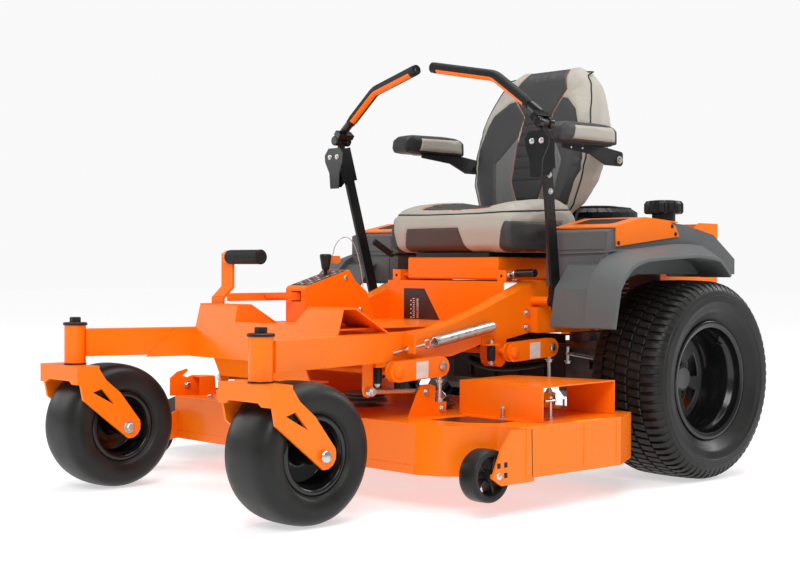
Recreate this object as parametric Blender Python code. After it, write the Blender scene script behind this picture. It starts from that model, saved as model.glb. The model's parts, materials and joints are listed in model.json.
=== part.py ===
"""Zero turn mower with a side-discharge deck between four wheels.

Metres, +Z up, -Y forward, +X to the operator's left.  The machine is laid out about the rear
axle (y = 0) and the middle plane (x = 0), and is moved at the end so that the origin is under
the centre of its box.
"""
import math

import bmesh
import bpy
from mathutils import Matrix, Vector

# Driving dimensions ---------------------------------------------------------------------
GAP = 0.0005                     # clearance between touching pieces
SHEET = 0.005                    # sheet steel of the deck and the platform

REAR_TYRE_RADIUS = 0.2794
REAR_RIM_RADIUS = 0.1655
REAR_WHEEL_X = 0.525             # middle of the tyre

CASTER_X = 0.400
CASTER_Y = -1.408                # swivel axis
CASTER_TRAIL = 0.1055
CASTER_RADIUS = 0.165
CASTER_WIDTH = 0.165
CASTER_RIM_RADIUS = 0.092

RAIL_WIDTH = 0.051
RAIL_LOW = 0.352
RAIL_HIGH = 0.424
RAIL_X = 0.262                   # rail centre beside the tower
RAIL_BEND_Y = -0.85              # where the front beams stop converging
TOWER_Y = -0.43
TOWER_TOP = 0.549
TOWER_HALF = RAIL_X - RAIL_WIDTH / 2 - GAP

FLOOR_Z = 0.436
PLATE_Y = -1.115                 # foot of the front plate
PLATE_TOP = 0.490
TOE_HALF = 0.299

DECK_HALF = 0.672
DECK_FRONT = -0.975
DECK_REAR = -0.325
DECK_TOP = 0.210
DECK_LOW = 0.088
BLADE_RADIUS = 0.2286
BLADE_Z = 0.098
SPINDLES = {"left": (0.4315, -0.575), "centre": (0.0, -0.735), "right": (-0.4315, -0.575)}

FRONT_LIFT = (-0.930, 0.3285)    # y, z of the front lift shaft
REAR_LIFT = (-0.500, 0.3630)
LIFT_ARM = 0.155
LINK_RISE = 0.008                # how much higher the rear end of a link is
HANGER_X = 0.330                 # hanger rods, between the plates of a link
DRAG_PIVOT = (-0.996, 0.281)
DRAG_LENGTH = 0.200
IDLER_PIVOT = (0.150, -0.560)
IDLER_WHEEL = (0.205, -0.655)
SCALP_LEFT = (0.634, -0.925, 0.1015)
SCALP_RIGHT = (-0.606, -1.032, 0.1015)

LEVER_PIVOT = (-0.366, 0.500)    # y, z of the lap-bar hinge
LEVER_FOOT_X = 0.369
LEVER_JOINT = (0.414, -0.469, 0.980)

PEDAL_X = -0.262
PEDAL_PIVOT = (-1.045, 0.433)
PIN_X = -0.1725
PIN_Y = -0.735

SEAT_HINGE = (-0.392, 0.569)     # y, z of the seat's tilt hinge
SEAT_HALF = 0.250
ARMREST_X = 0.310
ARMREST_PIVOT = (0.010, 0.912)

FENDER_IN = 0.304
FENDER_SIDE = 0.520
FENDER_OUT = 0.620

CUP = (0.42, -0.12)              # cup holder
CUP_RADIUS = 0.038
CUP_FLOOR = 0.640
FUEL_CAP = (0.405, 0.075)
ENGINE_Y = 0.270
SPIN_SIDES = 32

ORANGE = ("orange_paint", (0.92, 0.19, 0.01), 0.28, 0.0)
BLACK = ("black_paint", (0.02, 0.02, 0.022), 0.35, 0.0)
STEEL = ("zinc_steel", (0.55, 0.55, 0.56), 0.3, 1.0)
RUBBER = ("tyre_rubber", (0.018, 0.018, 0.018), 0.8, 0.0)
GREY = ("grey_plastic", (0.10, 0.10, 0.105), 0.55, 0.0)
VINYL = ("seat_vinyl", (0.42, 0.39, 0.35), 0.5, 0.0)
CAST = ("cast_metal", (0.08, 0.08, 0.085), 0.55, 0.4)


# Making solids --------------------------------------------------------------------------
def finish_material(look):
    """The Principled material of one look, made once."""
    name, colour, roughness, metallic = look
    made = bpy.data.materials.get(name)
    if made is None:
        made = bpy.data.materials.new(name)
        made.use_nodes = True
        shader = made.node_tree.nodes["Principled BSDF"]
        shader.inputs["Base Color"].default_value = (*colour, 1.0)
        shader.inputs["Roughness"].default_value = roughness
        shader.inputs["Metallic"].default_value = metallic
    return made


def piece(mesh_builder):
    """A scene object from a bmesh, with its faces pointing out."""
    bmesh.ops.recalc_face_normals(mesh_builder, faces=mesh_builder.faces)
    mesh = bpy.data.meshes.new("piece")
    mesh_builder.to_mesh(mesh)
    mesh_builder.free()
    made = bpy.data.objects.new("piece", mesh)
    bpy.context.collection.objects.link(made)
    return made


PLANES = {"X": (1, 2, 0), "Y": (0, 2, 1), "Z": (0, 1, 2)}


def prism(axis, outline, low, high):
    """A closed outline in the plane across an axis, carried from low to high along it."""
    first, second, along = PLANES[axis]
    builder = bmesh.new()
    corners = []
    for place in outline:
        point = [0.0, 0.0, 0.0]
        point[first] = place[0]
        point[second] = place[1]
        point[along] = low
        corners.append(builder.verts.new(point))
    face = builder.faces.new(corners)
    raised = bmesh.ops.extrude_face_region(builder, geom=[face])
    step = Vector((0.0, 0.0, 0.0))
    step[along] = high - low
    tops = [item for item in raised["geom"] if isinstance(item, bmesh.types.BMVert)]
    bmesh.ops.translate(builder, vec=step, verts=tops)
    return piece(builder)


def box(x, y, z):
    """A box from three (low, high) pairs."""
    return prism("Z", [(x[0], y[0]), (x[1], y[0]), (x[1], y[1]), (x[0], y[1])], z[0], z[1])


def strip(path, thickness):
    """Outline of a folded sheet: the path and its parallel on the left, thickness away."""
    points = [Vector(place) for place in path]
    shifted = []
    for index, point in enumerate(points):
        before = points[max(index - 1, 0)]
        after = points[min(index + 1, len(points) - 1)]
        into = (point - before).normalized() if index else (after - point).normalized()
        out = (after - point).normalized() if index < len(points) - 1 else into
        left_in = Vector((-into.y, into.x))
        left_out = Vector((-out.y, out.x))
        mitre = (left_in + left_out).normalized()
        shifted.append(point + mitre * (thickness / mitre.dot(left_in)))
    return [tuple(p) for p in points] + [tuple(p) for p in reversed(shifted)]


def sheet(axis, path, thickness, low, high):
    """A folded sheet whose fold lines run along an axis."""
    return prism(axis, strip(path, thickness), low, high)


def turned(axis, centre, profile, sides=SPIN_SIDES):
    """A profile of (radius, along) corners turned round an axis through the centre."""
    along = "XYZ".index(axis)
    first = (along + 1) % 3
    second = (along + 2) % 3
    builder = bmesh.new()
    rings = []
    for radius, reach in profile:
        count = sides if radius > 0.0 else 1
        ring = []
        for index in range(count):
            angle = 2.0 * math.pi * index / sides
            point = list(centre)
            point[along] += reach
            point[first] += radius * math.cos(angle)
            point[second] += radius * math.sin(angle)
            ring.append(builder.verts.new(point))
        rings.append(ring)
    on_axis = profile[0][0] == 0.0 and profile[-1][0] == 0.0
    last = len(rings) - 1 if on_axis else len(rings)
    for index in range(last):
        here = rings[index]
        there = rings[(index + 1) % len(rings)]
        for side in range(sides):
            after = (side + 1) % sides
            corners = [here[side % len(here)], here[after % len(here)]]
            corners += [there[after % len(there)], there[side % len(there)]]
            unique = list(dict.fromkeys(corners))
            if len(unique) > 2:
                builder.faces.new(unique)
    return piece(builder)


def disc(axis, centre, radius, low, high, sides=SPIN_SIDES):
    """A plain cylinder from low to high along an axis, measured from the centre."""
    return turned(axis, centre, [(0.0, low), (radius, low), (radius, high), (0.0, high)], sides)


def rod(points, radius, sides=8):
    """A round bar or wire along a path, with flat ends."""
    path = [Vector(place) for place in points]
    builder = bmesh.new()
    rings = []
    side_way = None
    for index, point in enumerate(path):
        into = (point - path[index - 1]).normalized() if index else (path[1] - point).normalized()
        out = (path[index + 1] - point).normalized() if index < len(path) - 1 else into
        along = (into + out).normalized()
        if side_way is None:
            side_way = into.orthogonal().normalized()
        side_way = (side_way - along * side_way.dot(along)).normalized()
        across = along.cross(side_way)
        stretch = 1.0 / max(along.dot(into), 0.5)
        bend = (out - into)
        bend = bend.normalized() if bend.length > 1e-6 else side_way
        ring = []
        for side in range(sides):
            angle = 2.0 * math.pi * side / sides
            spoke = (side_way * math.cos(angle) + across * math.sin(angle)) * radius
            spoke += bend * (spoke.dot(bend) * (stretch - 1.0))
            ring.append(builder.verts.new(point + spoke))
        rings.append(ring)
    for here, there in zip(rings, rings[1:]):
        for side in range(sides):
            after = (side + 1) % sides
            builder.faces.new([here[side], here[after], there[after], there[side]])
    builder.faces.new(rings[0])
    builder.faces.new(rings[-1])
    return piece(builder)


def flat_bar(start, end, width_way, width, thickness):
    """A flat bar between two points, its width along a given direction."""
    start = Vector(start)
    end = Vector(end)
    along = (end - start).normalized()
    wide = Vector(width_way)
    wide = (wide - along * wide.dot(along)).normalized() * (width / 2)
    deep = along.cross(wide).normalized() * (thickness / 2)
    builder = bmesh.new()
    rings = []
    for point in (start, end):
        corners = [point + wide + deep, point - wide + deep, point - wide - deep, point + wide - deep]
        rings.append([builder.verts.new(corner) for corner in corners])
    for side in range(4):
        after = (side + 1) % 4
        builder.faces.new([rings[0][side], rings[0][after], rings[1][after], rings[1][side]])
    builder.faces.new(rings[0])
    builder.faces.new(rings[1])
    return piece(builder)


def stadium(axis, ends, radius, low, high, steps=6):
    """A plate with round ends between two (first, second) centres."""
    one = Vector(ends[0])
    two = Vector(ends[1])
    lean = math.atan2((two - one).y, (two - one).x)
    outline = []
    for centre, turn in ((two, -math.pi / 2), (one, math.pi / 2)):
        for index in range(steps + 1):
            angle = lean + turn + math.pi * index / steps
            outline.append((centre.x + radius * math.cos(angle), centre.y + radius * math.sin(angle)))
    return prism(axis, outline, low, high)


def arc(centre, radius, start, stop, steps):
    """Points on a round stretch of an outline, angles in degrees."""
    points = []
    for index in range(steps + 1):
        angle = math.radians(start + (stop - start) * index / steps)
        points.append((centre[0] + radius * math.cos(angle), centre[1] + radius * math.sin(angle)))
    return points


def fillet(points, radius, steps=4):
    """A 3-D path with its inner corners rounded."""
    path = [Vector(place) for place in points]
    smooth = [path[0]]
    for before, corner, after in zip(path, path[1:], path[2:]):
        into = (before - corner).normalized()
        out = (after - corner).normalized()
        half = into.angle(out) / 2
        reach = radius / math.tan(half)
        start = corner + into * reach
        end = corner + out * reach
        for index in range(steps + 1):
            part = index / steps
            smooth.append(start.lerp(corner, part).lerp(corner.lerp(end, part), part))
    smooth.append(path[-1])
    return [tuple(point) for point in smooth]


def soften(made, width, segments=1):
    """Round the sharp edges of a piece."""
    builder = bmesh.new()
    builder.from_mesh(made.data)
    limit = math.radians(30.0)
    sharp = [edge for edge in builder.edges if edge.calc_face_angle(0.0) > limit]
    bmesh.ops.bevel(builder, geom=sharp, offset=width, segments=segments, affect="EDGES", profile=0.5)
    builder.to_mesh(made.data)
    builder.free()
    return made


def lean(made, along, across, slope, start):
    """Shear a piece: move it along one direction in proportion to another, from start."""
    one = "XYZ".index(along)
    two = "XYZ".index(across)
    for vertex in made.data.vertices:
        vertex.co[one] += slope * (vertex.co[two] - start)
    return made


def turn(made, centre, axis, degrees):
    """Turn a piece about a line through the centre."""
    about = Matrix.Translation(centre) @ Matrix.Rotation(math.radians(degrees), 4, axis)
    made.data.transform(about @ Matrix.Translation(-Vector(centre)))
    return made


def boolean(made, other, operation):
    """Join or cut one piece with another and drop the other."""
    modifier = made.modifiers.new("cut", "BOOLEAN")
    modifier.operation = operation
    modifier.solver = "EXACT"
    modifier.object = other
    reached = made.evaluated_get(bpy.context.evaluated_depsgraph_get())
    result = bpy.data.meshes.new_from_object(reached)
    made.modifiers.remove(modifier)
    made.data = result
    bpy.data.objects.remove(other)


def merge_specks(mesh):
    """Weld corners that a cut left closer than a hundredth of a millimetre."""
    builder = bmesh.new()
    builder.from_mesh(mesh)
    bmesh.ops.remove_doubles(builder, verts=builder.verts, dist=0.00001)
    builder.to_mesh(mesh)
    builder.free()


def node(name, look, pivot, pieces, cuts=(), side=1, round_below=40.0):
    """Join pieces into one solid, cut it, mirror it for the right side and name it."""
    made = pieces[0]
    for other in pieces[1:]:
        boolean(made, other, "UNION")
    for other in cuts:
        boolean(made, other, "DIFFERENCE")
    merge_specks(made.data)
    if side < 0:
        made.data.transform(Matrix.Scale(-1.0, 4, (1, 0, 0)))
        made.data.flip_normals()
    centre = Vector((side * pivot[0], pivot[1], pivot[2]))
    made.data.transform(Matrix.Translation(-centre))
    made.location = centre
    made.name = name
    made.data.name = name
    made.data.materials.clear()
    made.data.materials.append(finish_material(look))
    made.data.shade_smooth()
    made.data.set_sharp_from_angle(angle=math.radians(round_below))
    return made


SIDES = (("left", 1), ("right", -1))


# Frame ----------------------------------------------------------------------------------
RAIL_SPREAD = (CASTER_X - RAIL_X) / (CASTER_Y - RAIL_BEND_Y)


def rail_inner_x(y):
    """Inner face of the left rail at a given y, with a little clearance."""
    centre = RAIL_X if y > RAIL_BEND_Y else RAIL_X + RAIL_SPREAD * (y - RAIL_BEND_Y)
    return centre - RAIL_WIDTH / 2 - 0.0015


def frame_rail(name, side):
    """Pivot tube, converging front beam, upright beside the tower and its brackets."""
    half = RAIL_WIDTH / 2
    outer = RAIL_X + half
    start = Vector((CASTER_X, CASTER_Y))
    end = Vector((RAIL_X, RAIL_BEND_Y))
    along = (end - start).normalized()
    across = Vector((along.y, -along.x)) * half
    start += along * 0.023
    plan = [start - across, start + across, end + across]
    plan += [Vector((outer, -0.80)), Vector((RAIL_X - half, -0.80)), end - across]
    beam = prism("Z", [tuple(place) for place in plan], RAIL_LOW, RAIL_HIGH)
    tube_profile = [(0.0285, 0.331), (0.0285, 0.434), (0.0180, 0.434), (0.0180, 0.331)]
    pivot_tube = turned("Z", (CASTER_X, CASTER_Y, 0.0), tube_profile, 20)
    rising = [(-0.82, RAIL_LOW + 0.0002), (-0.69, 0.357), (-0.60, 0.378), (-0.525, 0.400),
              (-0.525, 0.345)]
    rising += arc((-0.500, 0.345), 0.025, 180, 360, 5)
    rising += [(-0.475, 0.395), (-0.30, 0.425), (-0.30, TOWER_TOP + 0.008), (-0.355, TOWER_TOP + 0.008)]
    rising += [(-0.46, 0.517), (-0.56, 0.480), (-0.66, 0.449), (-0.74, 0.431),
               (-0.82, RAIL_HIGH - 0.0002)]
    upright = prism("X", rising, RAIL_X - half + 0.0001, outer - 0.0001)
    spring_tab = box((0.270, 0.331), (-0.866, -0.860), (0.372, 0.420))
    hanger_lobe = arc((DRAG_PIVOT[0], DRAG_PIVOT[1]), 0.0155, 180, 360, 4)
    hanger_top = [(DRAG_PIVOT[0] + 0.0155, RAIL_LOW + 0.01), (DRAG_PIVOT[0] - 0.0155, RAIL_LOW + 0.01)]
    hanger = prism("X", hanger_lobe + hanger_top, 0.296, 0.302)
    lever_block = box((outer - 0.002, 0.3165), (-0.380, -0.305), (0.412, 0.482))
    lever_shaft = disc("X", (0.0, *LEVER_PIVOT), 0.012, outer - 0.002, LEVER_FOOT_X - 0.0175, 12)
    shaft_bore = disc("X", (0.0, *REAR_LIFT), 0.0095, 0.20, 0.34, 12)
    pieces = [beam, pivot_tube, upright, spring_tab, hanger, lever_block, lever_shaft]
    return node(name, ORANGE, (CASTER_X, CASTER_Y, RAIL_LOW), pieces, [shaft_bore], side)


def foot_platform():
    """Front plate, flanges along the beams, skirt, toe boards and floor pan."""
    inner = 0.293
    right_step = -0.125
    outline = [(-inner, RAIL_LOW - 0.006), (inner, RAIL_LOW - 0.006), (inner, RAIL_HIGH + 0.0008)]
    outline += [(TOE_HALF, RAIL_HIGH + 0.0008), (TOE_HALF, PLATE_TOP), (0.167, PLATE_TOP),
                (0.122, 0.444)]
    outline += [(right_step, 0.444), (right_step - 0.004, PLATE_TOP), (-TOE_HALF, PLATE_TOP)]
    outline += [(-TOE_HALF, RAIL_HIGH + 0.0008), (-inner, RAIL_HIGH + 0.0008)]
    thin = 0.004
    plate = lean(prism("Y", outline, PLATE_Y, PLATE_Y + thin), "Y", "Z", 0.262, RAIL_LOW - 0.006)
    skirt_path = [(PLATE_Y + 0.0015, 0.352), (-1.090, 0.298), (-1.03, 0.298)]
    skirt = prism("X", strip(skirt_path, thin), -0.19, 0.19)
    pieces = [plate, skirt]
    for side in (1, -1):
        wing = prism("X", [(-1.092, 0.347), (-1.235, 0.347), (-1.15, 0.422), (-1.092, 0.422)], -SHEET,
                     0.0)
        wing.data.transform(Matrix.Translation((rail_inner_x(-1.092) - 0.0005, 0, 0)))
        lean(wing, "X", "Y", RAIL_SPREAD, -1.092)
        if side < 0:
            wing.data.transform(Matrix.Scale(-1.0, 4, (1, 0, 0)))
            wing.data.flip_normals()
        pieces.append(wing)
    toe_path = [(-1.0785, PLATE_TOP - thin), (-1.035, PLATE_TOP - thin), (-0.93, RAIL_HIGH + 0.001)]
    wall = [(-1.088, 0.437), (-1.0765, PLATE_TOP - 0.002), (-1.036, PLATE_TOP - 0.002), (-0.955, 0.437)]
    pieces.append(sheet("X", toe_path, thin, 0.165, TOE_HALF - 0.0002))
    pieces.append(sheet("X", toe_path, thin, -TOE_HALF + 0.0002, right_step - 0.0005))
    pieces.append(prism("X", wall, 0.1652, 0.169))
    pieces.append(prism("X", wall, right_step - 0.004, right_step - 0.0007))
    edge = rail_inner_x(-1.09)
    side_x = rail_inner_x(0.0)
    plan = [(-edge, -1.088), (edge, -1.088), (side_x, RAIL_BEND_Y), (side_x, TOWER_Y - 0.005)]
    plan += [(-side_x, TOWER_Y - 0.005), (-side_x, RAIL_BEND_Y)]
    pieces.append(prism("Z", plan, FLOOR_Z - 0.002, FLOOR_Z + 0.002))
    pedal_slot = box((PEDAL_X - 0.029, PEDAL_X + 0.029), (-1.071, -1.018), (0.41, 0.52))
    return node("foot_platform", ORANGE, (0, PLATE_Y, FLOOR_Z), pieces, [pedal_slot])


def tower_panel():
    """Front of the seat tower, its top and the ears of the seat hinge."""
    path = [(TOWER_Y, RAIL_HIGH - 0.03), (TOWER_Y, TOWER_TOP), (-0.03, TOWER_TOP)]
    front = sheet("X", path, 0.004, -TOWER_HALF, TOWER_HALF)
    ears = []
    bores = []
    for side in (1, -1):
        low, high = sorted((side * 0.205, side * 0.213))
        outline = [(-0.415, TOWER_TOP + 0.002), (-0.372, TOWER_TOP + 0.002), (-0.372, 0.585),
                   (-0.415, 0.585)]
        ears.append(prism("X", outline, low, high))
        bores.append(disc("X", (0, *SEAT_HINGE), 0.0065, low - 0.01, high + 0.01, 10))
    return node("tower_panel", ORANGE, (0, TOWER_Y, TOWER_TOP), [front, *ears], bores)


def height_console():
    """Sloping box that holds the cutting-height pin."""
    outline = [(-0.845, FLOOR_Z + 0.0025), (-0.585, FLOOR_Z + 0.0025), (-0.615, 0.521), (-0.66, 0.552)]
    outline += [(-0.682, 0.583), (-0.838, 0.537), (-0.845, 0.530)]
    body = prism("X", outline, -0.215, -0.130)
    hole = disc("Z", (PIN_X, PIN_Y, 0), 0.0062, 0.50, 0.60, 10)
    rod_slot = box((-0.190, -0.148), (-0.87, -0.790), (0.494, 0.524))
    return node("height_console", ORANGE, (PIN_X, PIN_Y, FLOOR_Z), [body], [hole, rod_slot])


def height_pin():
    """Cutting-height pin with its tapered knob."""
    profile = [(0, 0.505), (0.0055, 0.505), (0.0055, 0.580), (0.0100, 0.588), (0.0165, 0.622),
               (0.014, 0.627), (0, 0.627)]
    pin = turned("Z", (PIN_X, PIN_Y, 0), profile, 12)
    return node("height_pin", BLACK, (PIN_X, PIN_Y, 0.58), [pin])


def lanyard_wire():
    """Thin wire loop from the pin's knob to the back of the console."""
    route = [(PIN_X, -0.717, 0.612), (PIN_X, -0.707, 0.630), (PIN_X, -0.700, 0.650),
             (PIN_X, -0.680, 0.672)]
    route += [(PIN_X + 0.001, -0.652, 0.676), (PIN_X + 0.002, -0.628, 0.655),
              (PIN_X + 0.003, -0.612, 0.615)]
    route += [(PIN_X + 0.004, -0.601, 0.570), (PIN_X + 0.004, -0.596, 0.535),
              (PIN_X + 0.004, -0.600, 0.508)]
    per_span = 4
    guide = [Vector(place) for place in route]
    guide = [guide[0] * 2 - guide[1], *guide, guide[-1] * 2 - guide[-2]]
    points = []
    for index in range(1, len(guide) - 2):
        a, b, c, d = guide[index - 1:index + 3]
        for step in range(per_span):
            t = step / per_span
            bent = b * 2 + (c - a) * t + (a * 2 - b * 5 + c * 4 - d) * t ** 2
            points.append((bent + (b * 3 - a - c * 3 + d) * t ** 3) / 2)
    points.append(guide[-2])
    curve = bpy.data.curves.new("lanyard_wire", "CURVE")
    curve.dimensions = "3D"
    curve.bevel_depth = 0.0012
    curve.bevel_resolution = 2
    curve.render_resolution_u = 0
    curve.use_fill_caps = True
    spline = curve.splines.new("POLY")
    spline.points.add(len(points) - 1)
    for target, point in zip(spline.points, points):
        target.co = (*point, 1.0)
    made = bpy.data.objects.new("lanyard_wire", curve)
    made.data.materials.append(finish_material(STEEL))
    bpy.context.collection.objects.link(made)
    return made


def rear_frame():
    """Side plates, engine deck, engine guard and rear bumper."""
    low, high = 0.405, 0.470
    deck_plate = box((-0.2395, 0.2395), (-0.20, 0.505), (0.462, 0.467))
    wide_plate = box((-0.298, 0.298), (0.22, 0.512), (0.4625, 0.4667))
    pieces = [deck_plate, wide_plate]
    for side in (1, -1):
        a, b = sorted((side * 0.2365, side * 0.2425))
        pieces.append(box((a, b), (-0.2985, 0.505), (low, high)))
    guard_path = [(-0.296, 0.21), (-0.296, 0.508), (0.296, 0.508), (0.296, 0.21)]
    pieces.append(prism("Z", strip(guard_path, -0.004), 0.4645, 0.735))
    pieces.append(box((-0.345, 0.345), (0.498, 0.530), (0.360, 0.450)))
    pieces.append(box((-0.20, 0.20), (0.494, 0.506), (0.440, 0.4655)))
    slope = prism("X", [(0.19, 0.61), (0.24, 0.61), (0.44, 0.76), (0.19, 0.76)], -0.4, 0.4)
    vents = []
    for row in range(3):
        z = 0.535 + 0.055 * row
        vents.append(box((-0.22, 0.22), (0.49, 0.525), (z, z + 0.030)))
    shaft_hole = disc("Z", (0, ENGINE_Y, 0), 0.030, 0.44, 0.48, 16)
    return node("rear_frame", ORANGE, (0, 0.5, low), pieces, [slope, shaft_hole, *vents])


# Engine and drive -----------------------------------------------------------------------
def engine_block():
    """Crankcase, two cylinders, blower housing and muffler, bored for the crankshaft."""
    crankcase = soften(box((-0.14, 0.14), (ENGINE_Y - 0.13, ENGINE_Y + 0.13), (0.4675, 0.605)), 0.012)
    housing = turned("Z", (0, ENGINE_Y, 0),
                     [(0, 0.60), (0.168, 0.60), (0.172, 0.70), (0.15, 0.745), (0, 0.745)], 24)
    pieces = [crankcase, housing]
    for angle in (-45, 45):
        cylinder = soften(box((-0.058, 0.058), (-0.215, -0.10), (0.492, 0.598)), 0.008)
        cylinder.data.transform(Matrix.Translation((0, ENGINE_Y + 0.02, 0)))
        pieces.append(turn(cylinder, (0, ENGINE_Y + 0.02, 0.54), "Z", angle))
    pieces.append(disc("X", (0, ENGINE_Y + 0.170, 0.545), 0.048, -0.17, 0.17, 16))
    bore = disc("Z", (0, ENGINE_Y, 0), 0.0215, 0.44, 0.76, 12)
    return node("engine_block", CAST, (0, ENGINE_Y, 0.468), pieces, [bore])


def crankshaft():
    """Crankshaft with the clutch pulley below and the rotating screen on top."""
    profile = [(0, 0.395), (0.070, 0.395), (0.070, 0.402), (0.058, 0.410), (0.058, 0.416),
               (0.070, 0.424)]
    profile += [(0.070, 0.452), (0.0195, 0.452), (0.0195, 0.752), (0.128, 0.752), (0.128, 0.768),
                (0.105, 0.784)]
    profile += [(0.045, 0.792), (0, 0.792)]
    return node("crankshaft", CAST, (0, ENGINE_Y, 0.40), [turned("Z", (0, ENGINE_Y, 0), profile, 24)])


def hydro_drive(name, side):
    """Hydrostatic drive unit with its axle tube and brake drum."""
    case = soften(box((0.13, 0.345), (-0.09, 0.09), (0.205, 0.375)), 0.02)
    hump = disc("Z", (0.20, -0.02, 0), 0.055, 0.36, 0.402, 16)
    axle = turned("X", (0, 0, REAR_TYRE_RADIUS),
                  [(0, 0.33), (0.035, 0.33), (0.030, 0.48), (0.062, 0.484),
                                                  (0.062, 0.4985), (0, 0.4985)], 16)
    return node(name, CAST, (0.24, 0, REAR_TYRE_RADIUS), [case, hump, axle], (), side)


# Wheels ---------------------------------------------------------------------------------
def rear_rim(name, side):
    """Deep rear rim: a barrel with two flanges and a disc with hand holes set far in."""
    profile = [(0, 0.4993), (0.125, 0.4993), (0.131, 0.492), (0.131, 0.455), (0.1455, 0.440),
               (0.1455, 0.4085)]
    profile += [(0.1655, 0.4085), (0.1655, 0.4125), (0.1500, 0.4125), (0.1500, 0.440), (0.136, 0.455)]
    profile += [(0.136, 0.590), (0.1500, 0.602), (0.1500, 0.6205), (REAR_RIM_RADIUS, 0.6205)]
    profile += [(REAR_RIM_RADIUS, 0.6260), (0.1455, 0.6260), (0.1455, 0.604), (0.131, 0.588),
                (0.131, 0.5055)]
    profile += [(0.060, 0.5055), (0.036, 0.532), (0, 0.532)]
    rim = turned("X", (0, 0, REAR_TYRE_RADIUS), profile, 24)
    holes = []
    for index in range(6):
        angle = math.radians(60 * index + 34)
        centre = (0, 0.090 * math.cos(angle), REAR_TYRE_RADIUS + 0.090 * math.sin(angle))
        holes.append(disc("X", centre, 0.021, 0.48, 0.52, 8))
    return node(name, BLACK, (REAR_WHEEL_X, 0, REAR_TYRE_RADIUS), [rim], holes, side)


def rear_tyre(name, side):
    """Hollow turf tyre, open towards the rim."""
    outside = [(0.1512, 0.0), (0.167, 0.0), (0.190, 0.012), (0.225, 0.015), (0.262, 0.008),
               (0.2794, -0.018)]
    half_bead = 0.6195 - REAR_WHEEL_X
    profile = [(radius, half_bead + reach) for radius, reach in outside]
    profile += [(radius, -half_bead - 0.0085 - reach) for radius, reach in reversed(outside)]
    inside = [(0.1512, -0.022), (0.215, -0.004), (0.262, -0.022)]
    profile += [(radius, -half_bead - 0.0085 - reach) for radius, reach in inside]
    profile += [(radius, half_bead + reach) for radius, reach in reversed(inside)]
    tyre = turned("X", (REAR_WHEEL_X, 0, REAR_TYRE_RADIUS), profile, 32)
    return node(name, RUBBER, (REAR_WHEEL_X, 0, REAR_TYRE_RADIUS), [tyre], (), side)


AXLE_Y = CASTER_Y + CASTER_TRAIL


def caster_fork(name, side):
    """Spindle, crown, two bent arms and the wheel axle of a caster."""
    spindle_profile = [(0, 0.322), (0.0175, 0.322), (0.0175, 0.4346), (0.031, 0.4346), (0.031, 0.4410)]
    spindle_profile += [(0.0115, 0.4410), (0.0115, 0.4540), (0, 0.4540)]
    spindle = turned("Z", (CASTER_X, CASTER_Y, 0), spindle_profile, 20)
    half = CASTER_WIDTH / 2 + 0.0125
    thick = 0.008
    crown = prism("Z", [(-half, -1.457), (half, -1.457), (half, -1.392), (-half, -1.392)], 0.3225,
                  0.3305)
    crown.data.transform(Matrix.Translation((CASTER_X, 0, 0)))
    front = [(-half, 0.3300), (-half, 0.283), (-half + 0.030, 0.283), (-half + 0.042, 0.291),
             (half - 0.042, 0.291)]
    front += [(half - 0.030, 0.283), (half, 0.283), (half, 0.3300)]
    apron = prism("Y", front, -1.457, -1.449)
    apron.data.transform(Matrix.Translation((CASTER_X, 0, 0)))
    arm = [(-1.457, 0.3303), (-1.398, 0.3303), (-1.371, 0.292), (-1.328, 0.257)]
    arm += [(-1.268, 0.181)] + arc((AXLE_Y + 0.005, 0.166), 0.032, 10, -100, 4) + [(-1.439, 0.242)]
    window = [(-1.411, 0.2615), (-1.384, 0.270), (-1.347, 0.2265)]
    pieces = [spindle, crown, apron]
    cuts = []
    for low in (-half, half - thick):
        pieces.append(prism("X", arm, CASTER_X + low, CASTER_X + low + thick))
    cuts.append(prism("X", window, CASTER_X - half - 0.01, CASTER_X + half + 0.01))
    pieces.append(disc("X", (CASTER_X, AXLE_Y, CASTER_RADIUS), 0.0095, -half - 0.008, half + 0.008, 12))
    return node(name, ORANGE, (CASTER_X, CASTER_Y, RAIL_LOW), pieces, cuts, side)


def caster_rim(name, side):
    """Small rim with a hub tube and a middle disc."""
    half = [(0.0102, -0.062), (0.022, -0.062), (0.022, -0.005), (0.068, -0.005), (0.0755, -0.0655)]
    half += [(CASTER_RIM_RADIUS, -0.0655), (CASTER_RIM_RADIUS, -0.0620), (0.0795, -0.0615)]
    profile = half + [(radius, -reach) for radius, reach in reversed(half)]
    rim = turned("X", (CASTER_X, AXLE_Y, CASTER_RADIUS), profile, 20)
    return node(name, BLACK, (CASTER_X, AXLE_Y, CASTER_RADIUS), [rim], (), side)


def caster_tyre(name, side):
    """Smooth rounded caster tyre."""
    half = [(0.0802, -0.0608), (0.0935, -0.0612), (0.115, -0.080), (0.143, -0.0825), (0.160, -0.065)]
    half += [(CASTER_RADIUS, -0.030)]
    profile = half + [(radius, -reach) for radius, reach in reversed(half)]
    tyre = turned("X", (CASTER_X, AXLE_Y, CASTER_RADIUS), profile, 24)
    return node(name, RUBBER, (CASTER_X, AXLE_Y, CASTER_RADIUS), [tyre], (), side)


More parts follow.
